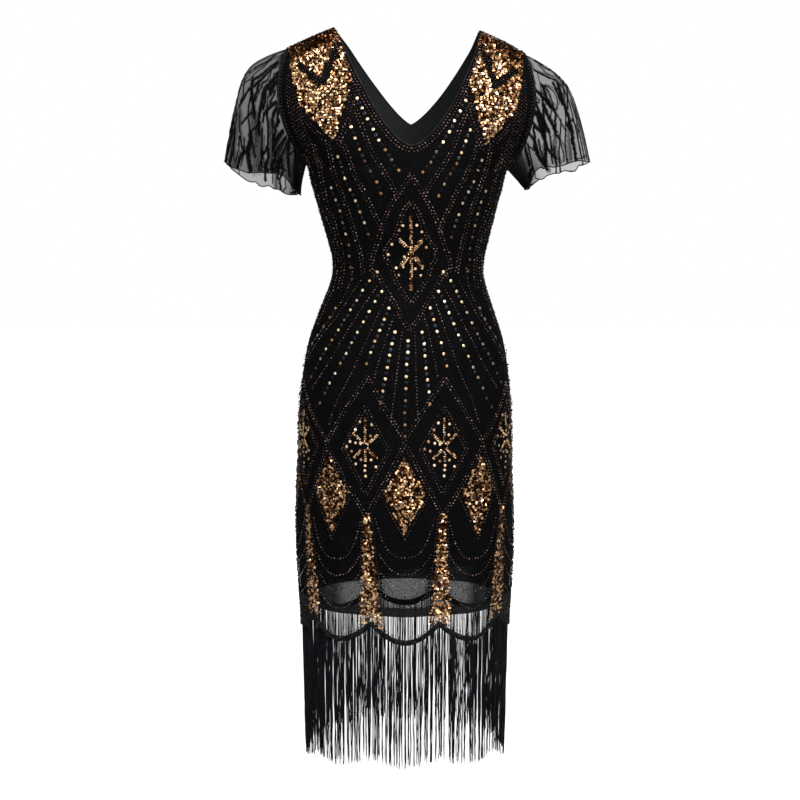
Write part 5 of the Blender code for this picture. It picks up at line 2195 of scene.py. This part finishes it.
    def patch(self, hand: float) -> None:
        """The shoulder's sequin patch, its chevron and the bead rows round it and the armhole.

        Args:
            hand: 1 for the half towards +X, -1 for the other.
        """
        self.patch_sequins(hand)
        placer, edge = by_distance(self.side), PATCH_EDGE * 1e-3
        for arm in self.lines((PATCH_CHEVRON[:3], PATCH_CHEVRON[2:]), hand):
            self.bead_line(placer, arm, 2, (0.0, 0.45))
        end_x, _, end_z = FORM.armhole(np.linspace(6, 176, 900), 0.0)
        for inset in self.armhole_rolls:
            roll = np.stack([end_x - inset, end_z], -1) * (hand, 1.0)
            self.bead_line(placer, roll, 1, (0.0, 0.06), self.armhole_roll_size)
        for inset in self.armhole_rows:
            spots = np.stack([end_x - inset, end_z], -1)
            free = ~inside(spots, edge) & (line_gap(spots, edge) > self.edge_room)
            cuts = np.flatnonzero(np.diff(free.astype(int))) + 1
            for part, clear in zip(np.split(spots, cuts), np.split(free, cuts), strict=True):
                if len(part) > 20 and clear[0]:
                    self.bead_line(placer, part * (hand, 1.0), 1, (0.0, 0.5))
        for number, line in enumerate(self.lines(PATCH_BORDERS, hand)):
            self.bead_line(placer, line, 2 if number < 2 else 1, (0.0, 0.6))

    def patch_sequins(self, hand: float) -> None:
        """Sequins in rows that turn round the armhole, at an even distance on the cloth.

        The chevron's band is left free for beads, and a strip along the shoulder seam is dull.

        Args:
            hand: 1 for the half towards +X, -1 for the other.
        """
        row = np.arange(1.5, 160, 2.35)[:, None]
        end_x = FORM.armhole(row, FORM.armhole_depth[self.side])[0]
        count = np.arange(64) + 0.5 * (np.arange(len(row)) % 2)[:, None]
        share = self.shaken(count, 0.16) * self.sequin_pitch / (end_x * 1.1)
        row = self.shaken(row + 0 * share, 0.4)
        spot = np.stack(FORM.yoke_spot(self.side, row, share), -1)
        keep = inside(spot, PATCH_EDGE * 1e-3) & (share < 1)
        keep &= line_gap(spot, PATCH_CHEVRON * 1e-3) > self.chevron_half
        row, share, spot = row[keep], share[keep], spot[keep]
        places = FORM.yoke(self.side, hand, row, share)
        step = FORM.yoke(self.side, hand, row, share + 0.004) - places
        rise = FORM.yoke(self.side, hand, row - 0.4, share) - places
        out = -self.side.value * hand * unit(np.cross(unit(step), unit(rise)))
        inner, outer = PATCH_EDGE[9] * 1e-3, PATCH_EDGE[10] * 1e-3
        slope = (outer[1] - inner[1]) / (outer[0] - inner[0])
        below = inner[1] + (spot[:, 0] - inner[0]) * slope - spot[:, 1]
        bright = self.shaken(below, 0.003) > self.dull_strip
        for chosen, low, high in ((bright, 0.10, 1.0), (~bright, 0.12, 0.32)):
            lift = self.dice.uniform(0.0004, 0.0012, (int(chosen.sum()), 1))
            self.strew(places[chosen] + out[chosen] * lift, out[chosen], low, high)

    def skirt(self, hand: float) -> None:
        """Rays, zigzags, columns, scalloped arcs and side beads of one half.

        Args:
            hand: 1 for the half towards +X, -1 for the other.
        """
        placer, scale = by_arc(self.side), (ARC * 1e-2, 1e-3)
        for line in self.lines(BEAD_RAYS, hand, scale):
            self.bead_line(placer, line, 1, (0.35, 0.92), 0.0014)
        for number, line in enumerate(self.lines(STUD_RAYS, hand, scale)):
            if number or hand > 0:
                self.stud_line(placer, line, 0.4 if number == 0 else 0.85, 0.5 * (number % 2))
        for zigzag in ZIGZAGS:
            ends = np.array([[pattern_arc(q, z * 1e-3), z * 1e-3] for q, z in zigzag]) * (hand, 1.0)
            for start, end in zip(ends[:-1], ends[1:], strict=True):
                self.bead_line(placer, np.linspace(start, end, 200))
        for number in (1, 3):
            self.column(placer, number, hand)
        self.arcs(placer, hand)
        share = np.linspace(0, 1, 600)
        across, hem = share * ARC * hand, FORM.scallop_z(share)
        upper, lower = (np.stack([across, hem + off], -1) for off in self.hem_rows)
        self.bead_line(placer, upper, 1, (0.0, 0.35), 0.0021)
        self.bead_line(placer, lower, 1, (0.0, 0.1), 0.0018)
        self.side_beads(placer, hand)

    def side_beads(self, placer: Placer, hand: float) -> None:
        """Loose dark beads along the side seam and the hem, which roughen the outline.

        Args:
            placer: where its spots lie.
            hand: 1 for the half towards +X, -1 for the other.
        """
        upper = self.dice.uniform(self.hips_z, -0.185, 120)
        edge = self.hips_z - 0.415 * self.dice.uniform(0, 1, 300) ** 0.55
        low = self.dice.uniform(-0.896, -0.845, 720)
        z = np.concatenate([upper, edge, low])
        share = 1 - np.abs(self.dice.normal(0, 0.023, len(z)))
        share[-len(low) :] = 1 - self.dice.uniform(0, 0.20, len(low))
        above = z > FORM.scallop_z(share) + 0.003
        z, arc = z[above], hand * ARC * share[above]
        places, out = placer.at(np.stack([arc, z], -1), 0.0)
        rough = np.where(z > self.hips_z, 0.5, 1.0)
        places = places + out * (self.dice.uniform(0.0004, 0.0027, len(z)) * rough)[:, None]
        sizes = self.dice.uniform(0.0016, 0.0029, len(z)) * (0.3 + 0.7 * rough)
        tone = self.dice.uniform(0.0, 0.06, len(z))
        self.units[Unit.BEAD].add(places, out, np.array([0.1, 0.2, 1.0]), sizes, tone)

    def above_hem(self, spots: Array) -> Array:
        """Which spots of the skirt lie far enough above the scallops for beads."""
        return spots[:, 1] > FORM.scallop_z(spots[:, 0] / ARC) + self.hem_room

    def column(self, placer: Placer, number: int, hand: float) -> None:
        """A sequin column that widens to the hem's cusp and forks round it, edged with beads.

        Args:
            placer: where its spots lie.
            number: the pattern's upright axis.
            hand: 1 for the half towards +X, -1 for the other.
        """
        z = np.linspace(*self.column_ends, 60)
        middle, half = pattern_arc(number, z) * hand, COLUMN_HALF(z)
        right, left = np.stack([middle + half, z], -1), np.stack([middle - half, z], -1)
        self.fill(placer, np.concatenate([right, left[::-1]]), 0.06, 0.95, self.above_hem)
        for edge, out in ((right, self.column_edge), (left, -self.column_edge)):
            line = smooth_line(edge) + [out, 0.0]
            self.bead_line(placer, line[self.above_hem(line)], 1, (0.0, 0.4), 0.0021)

    def arcs(self, placer: Placer, hand: float) -> None:
        """Bead scallops between the columns of one half.

        In each bay the height goes by a power of the distance from its middle.

        Args:
            placer: where its spots lie.
            hand: 1 for the half towards +X, -1 for the other.
        """
        t = np.linspace(-1, 1, 400)
        for bottom, drop, power in ARC_LEVELS:
            z = (bottom + drop * np.abs(t) ** power) * 1e-3
            room = (COLUMN_HALF((bottom + drop / 2) * 1e-3) + self.arc_room) / ARC
            near, far = (float(pattern_arc(number, bottom * 1e-3)) / ARC for number in (1, 3))
            tone = (0.35, 0.9) if bottom > -860 else (0.0, 0.3)
            for low, high in ((-near, near), (near, far), (far, 2 - far)):
                share = (low + high) / 2 + ((high - low) / 2 - room) * t
                lower = z - (self.side_arcs_drop if low > 0 else 0.0)
                line = np.stack([share * ARC * hand, lower], -1)[(share >= 0) & (share <= 1)]
                self.bead_line(placer, line, 1, tone, 0.0015)

    def diamonds(self) -> None:
        """The bodice's star, the skirt's star diamonds and its filled sequin diamonds."""
        placer = by_distance(self.side)
        self.star(placer, (0.0, -0.320), BODICE_STAR_ARMS, BODICE_STAR_SPOTS, 0.0058)
        placer = by_arc(self.side)
        for number in (-3, -1, 1, 3):
            self.outline(placer, number, (-0.543, -0.605, -0.671), 0.035, 2)
            centre = (float(pattern_arc(number, -0.600)), -0.600)
            self.star(placer, centre, SKIRT_STAR_ARMS, SKIRT_STAR_SPOTS, self.arm_width)
        for number in (-4, -2, 0, 2, 4):
            heights = (-0.614, -0.671, -0.738) if number == 0 else (-0.617, -0.671, -0.743)
            corners = self.outline(placer, number, heights, 0.0362 if number == 0 else 0.0345, 1)
            middle = corners.mean(axis=0)
            corners = middle + (corners - middle) * (0.87, 0.95) + (0.0, 0.0025)
            self.fill(placer, corners, 0.0, 0.9, lambda spots: np.abs(spots[:, 0]) < ARC * 0.999)

    def outline(
        self, placer: Placer, number: int, heights: Sequence[float], half: float, rows: int
    ) -> Array:
        """A bead outline of a diamond on one of the pattern's upright axes.

        Args:
            placer: where its spots lie.
            number: the axis, negative on the other half.
            heights: its upper point, its widest part and its lower point.
            half: half its width.
            rows: rows of beads; a single row runs along the two lower edges only.

        Returns:
            Its four corners.
        """
        top, middle, bottom = ([float(pattern_arc(number, z)), z] for z in heights)
        x, z = middle
        corners = np.array([[x + half, z], top, [x - half, z], bottom])
        ends = np.roll(corners, -1, axis=0)
        for start, end in list(zip(corners, ends, strict=True))[0 if rows > 1 else 2 :]:
            line = np.linspace(start, end, 160)
            line = line[np.abs(line[:, 0]) < ARC]
            if len(line) > 8:
                self.bead_line(placer, line, rows, (0.0, 0.65))
        return corners


@dataclass
class Embroidery:
    """All the beadwork, as one joined mesh for each kind of unit and side."""

    beads: GlintFinish = BEAD_GLASS
    spangles: GlintFinish = SPANGLE_METAL
    sequins: GlintFinish = SEQUIN_GOLD

    def build(self) -> None:
        """Stitches both sides."""
        finish = {Unit.BEAD: self.beads.build(), Unit.SPANGLE: self.spangles.build()}
        finish[Unit.SEQUIN] = finish[Unit.BUGLE] = self.sequins.build()
        for seed, side in enumerate(Side, 21):
            work = Needlework(side, np.random.default_rng(seed))
            work.build()
            for kind, units in work.units.items():
                smooth = kind in (Unit.BEAD, Unit.BUGLE)
                name = f"{kind.value}s_{side.word}"
                make_piece(name, units.mesh(), finish[kind], smooth=smooth)


@dataclass
class Edges:
    """Neck binding, hem braid and seams."""

    binding: ThreadFinish = BINDING_WITH_PAINTED_HIGHLIGHT
    braid: ThreadFinish = BRAID
    seam: ThreadFinish = SEAM_THREAD
    bind_radius: float = 0.0011
    braid_radius: float = 0.0018
    braid_swing: float = 0.0019
    braid_turns: float = 62.0
    braid_rise: float = 0.0022
    seam_radius: float = 0.0007
    seam_points: int = 200
    shoulder_points: int = 40
    armhole_radius: float = 0.0019
    armhole_off: float = 0.0010

    def neck(self, side: Side) -> MeshData:
        """The bound neck edge of one side, shoulder to shoulder.

        Args:
            side: front or back.

        Returns:
            The mesh.
        """
        t = np.linspace(-1, 1, 361)
        rows = FORM.neck_row[side] * (1 - t**2)
        left, right = (FORM.yoke(side, hand, rows, 0.0 * t) for hand in HANDS)
        out = np.stack([0 * t, np.full_like(t, side.value), 0.25 + 0 * t], -1)
        return tube(np.where((t < 0)[:, None], left, right), self.bind_radius, 6, out, 0.8)

    def hem(self, side: Side) -> MeshData:
        """Two cords twisted along the scalloped edge.

        Args:
            side: front or back.

        Returns:
            The mesh.
        """
        share = np.linspace(-0.9995, 0.9995, 1001)
        spots = np.stack([share * ARC, FORM.scallop_z(share) + self.braid_rise], -1)
        places, out = by_arc(side).at(spots, 0.0006)
        across = np.cross(unit(np.gradient(places, axis=0)), out)
        turn = 2 * math.pi * self.braid_turns * (share + 1) / 2
        cords = []
        for phase in (0.0, math.pi):
            swing = np.cos(turn + phase)[:, None] * across * self.braid_swing
            rise = np.sin(turn + phase)[:, None] * out * self.braid_swing * 0.5
            cords.append(tube(places + swing + rise, self.braid_radius, 5, out))
        return joined(cords)

    def armhole(self, hand: float) -> MeshData:
        """The seam that joins a sleeve to the armhole.

        Args:
            hand: 1 for the half towards +X, -1 for the other.

        Returns:
            The mesh.
        """
        angle = np.linspace(0, 180, 91)
        front, back = (FORM.yoke(side, hand, angle, np.ones_like(angle)) for side in Side)
        ring = np.concatenate([front, back[-2:0:-1]])
        out = unit(ring - ring.mean(axis=0)) + [hand, 0, 0]
        ring = ring + [hand * self.armhole_off, 0, 0]
        return tube(ring, self.armhole_radius, 6, out, closed=True)

    def seams(self) -> MeshData:
        """Side seams and shoulder seams.

        Returns:
            The mesh.
        """
        parts = []
        for hand in HANDS:
            z = np.linspace(FORM.scallop_z(np.array(1.0)) + 0.002, FORM.armpit_z, self.seam_points)
            line = FORM.body(Side.FRONT, np.full_like(z, hand), z)
            parts.append(tube(line, self.seam_radius, 5, 0 * line + [hand, 0, 0]))
            share = np.linspace(0, 1, self.shoulder_points)
            line = FORM.yoke(Side.FRONT, hand, 0 * share, share)
            parts.append(tube(line, self.seam_radius * 1.4, 5, 0 * line + [0, 0, 1]))
        return joined(parts)

    def build(self) -> None:
        """Makes every edge trim."""
        binding, braid, seam = self.binding.build(), self.braid.build(), self.seam.build()
        made = [(f"neck_binding_{side.word}", self.neck(side), binding) for side in Side]
        made += [(f"hem_braid_{side.word}", self.hem(side), braid) for side in Side]
        words = zip(("left", "right"), HANDS, strict=True)
        made += [(f"armhole_seam_{word}", self.armhole(hand), seam) for word, hand in words]
        for name, data, material in [*made, ("sewn_seams", self.seams(), seam)]:
            make_piece(name, data, material)


# ---- Studio ----


@dataclass
class Studio:
    """Camera, soft lights, a plain pale floor and a white surround."""

    camera_place: tuple[float, float, float] = (-0.00836, -2.46784, -0.15)
    camera_tilt: float = 80.8
    lens: float = 74.03
    surround_light: float = 0.07
    floor_z: float = -1.135
    floor_size: float = 12.0
    floor_glow: Pair = (0.06, 1.0)
    aim: tuple[float, float, float] = (0.0, 0.0, -0.5)
    boxes: tuple[tuple[str, tuple[float, float, float], float, float], ...] = (
        ("key", (1.2, -2.1, 1.2), 1.3, 70.0),
        ("fill", (-1.7, -1.8, 0.5), 1.2, 26.0),
        ("top", (0.1, -1.0, 1.9), 1.2, 46.0),
        ("low", (0.3, -2.6, -0.6), 1.0, 14.0),
        ("back", (0.4, 2.2, 0.5), 1.4, 18.0),
    )  # name, place, size and power of each soft box

    def build(self) -> None:
        """Sets up everything that isn't part of the dress."""
        self.camera()
        self.world()
        self.floor()
        self.lights()

    def camera(self) -> None:
        """A level camera a little above the dress's middle, tilted down."""
        data = bpy.data.cameras.new("camera")
        data.lens, data.sensor_width = self.lens, 36.0
        made = bpy.data.objects.new("camera", data)
        made.location = self.camera_place
        made.rotation_euler = (math.radians(self.camera_tilt), 0.0, 0.0)
        bpy.context.scene.collection.objects.link(made)
        bpy.context.scene.camera = made
        bpy.context.scene.view_settings.view_transform = "Standard"

    def world(self) -> None:
        """White where it is seen directly, a softer grey as a source of light."""
        world = bpy.data.worlds.new("surround")
        world.use_nodes = True
        tree = world.node_tree
        tree.nodes.clear()
        path = tree.nodes.new("ShaderNodeLightPath")
        seen, lit = tree.nodes.new("ShaderNodeBackground"), tree.nodes.new("ShaderNodeBackground")
        seen.inputs["Color"].default_value = (1, 1, 1, 1)
        lit.inputs["Color"].default_value = (0.93, 0.95, 1.0, 1)
        lit.inputs["Strength"].default_value = self.surround_light
        mix, out = tree.nodes.new("ShaderNodeMixShader"), tree.nodes.new("ShaderNodeOutputWorld")
        tree.links.new(path.outputs["Is Camera Ray"], mix.inputs["Fac"])
        tree.links.new(lit.outputs[0], mix.inputs[1])
        tree.links.new(seen.outputs[0], mix.inputs[2])
        tree.links.new(mix.outputs[0], out.inputs["Surface"])
        bpy.context.scene.world = world

    def floor(self) -> None:
        """A plain floor just under the fringe, bright enough to run into the surround."""
        grey, glow = (0.5, 0.5, 0.5, 1), (1, 1, 1, 1)
        desk = NodeDesk("studio_floor", Base_Color=grey, Roughness=0.9, Emission_Color=glow)
        seen = desk.node("ShaderNodeLightPath", {}).outputs["Is Camera Ray"]
        desk.join(desk.spread(seen, *self.floor_glow), "Emission Strength")
        half, z = self.floor_size / 2, self.floor_z
        corners = np.array([[-half, -half, z], [half, -half, z], [half, half, z], [-half, half, z]])
        data = MeshData(corners, np.array([[0, 1, 2, 3]]), {})
        make_object("studio_floor", data, desk.material, smooth=False)

    def lights(self) -> None:
        """Two large soft boxes in front, one above, one below and a weak one behind."""
        for name, place, size, power in self.boxes:
            data = bpy.data.lights.new(name, "AREA")
            data.size, data.energy = size, power
            made = bpy.data.objects.new(name, data)
            x, y, z = np.array(self.aim) - place
            made.location = place
            made.rotation_euler = (math.atan2(math.hypot(x, y), -z), 0.0, math.atan2(-x, y))
            bpy.context.scene.collection.objects.link(made)


def main() -> None:
    """Builds the dress piece by piece, then the studio."""
    logging.basicConfig(level=logging.INFO, format="%(name)s %(message)s")
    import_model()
    slips = Slip().build()
    Nets().build(slips)
    Sleeves().build()
    Fringe().build()
    Edges().build()
    Embroidery().build()
    Studio().build()


if __name__ == "__main__":
    main()
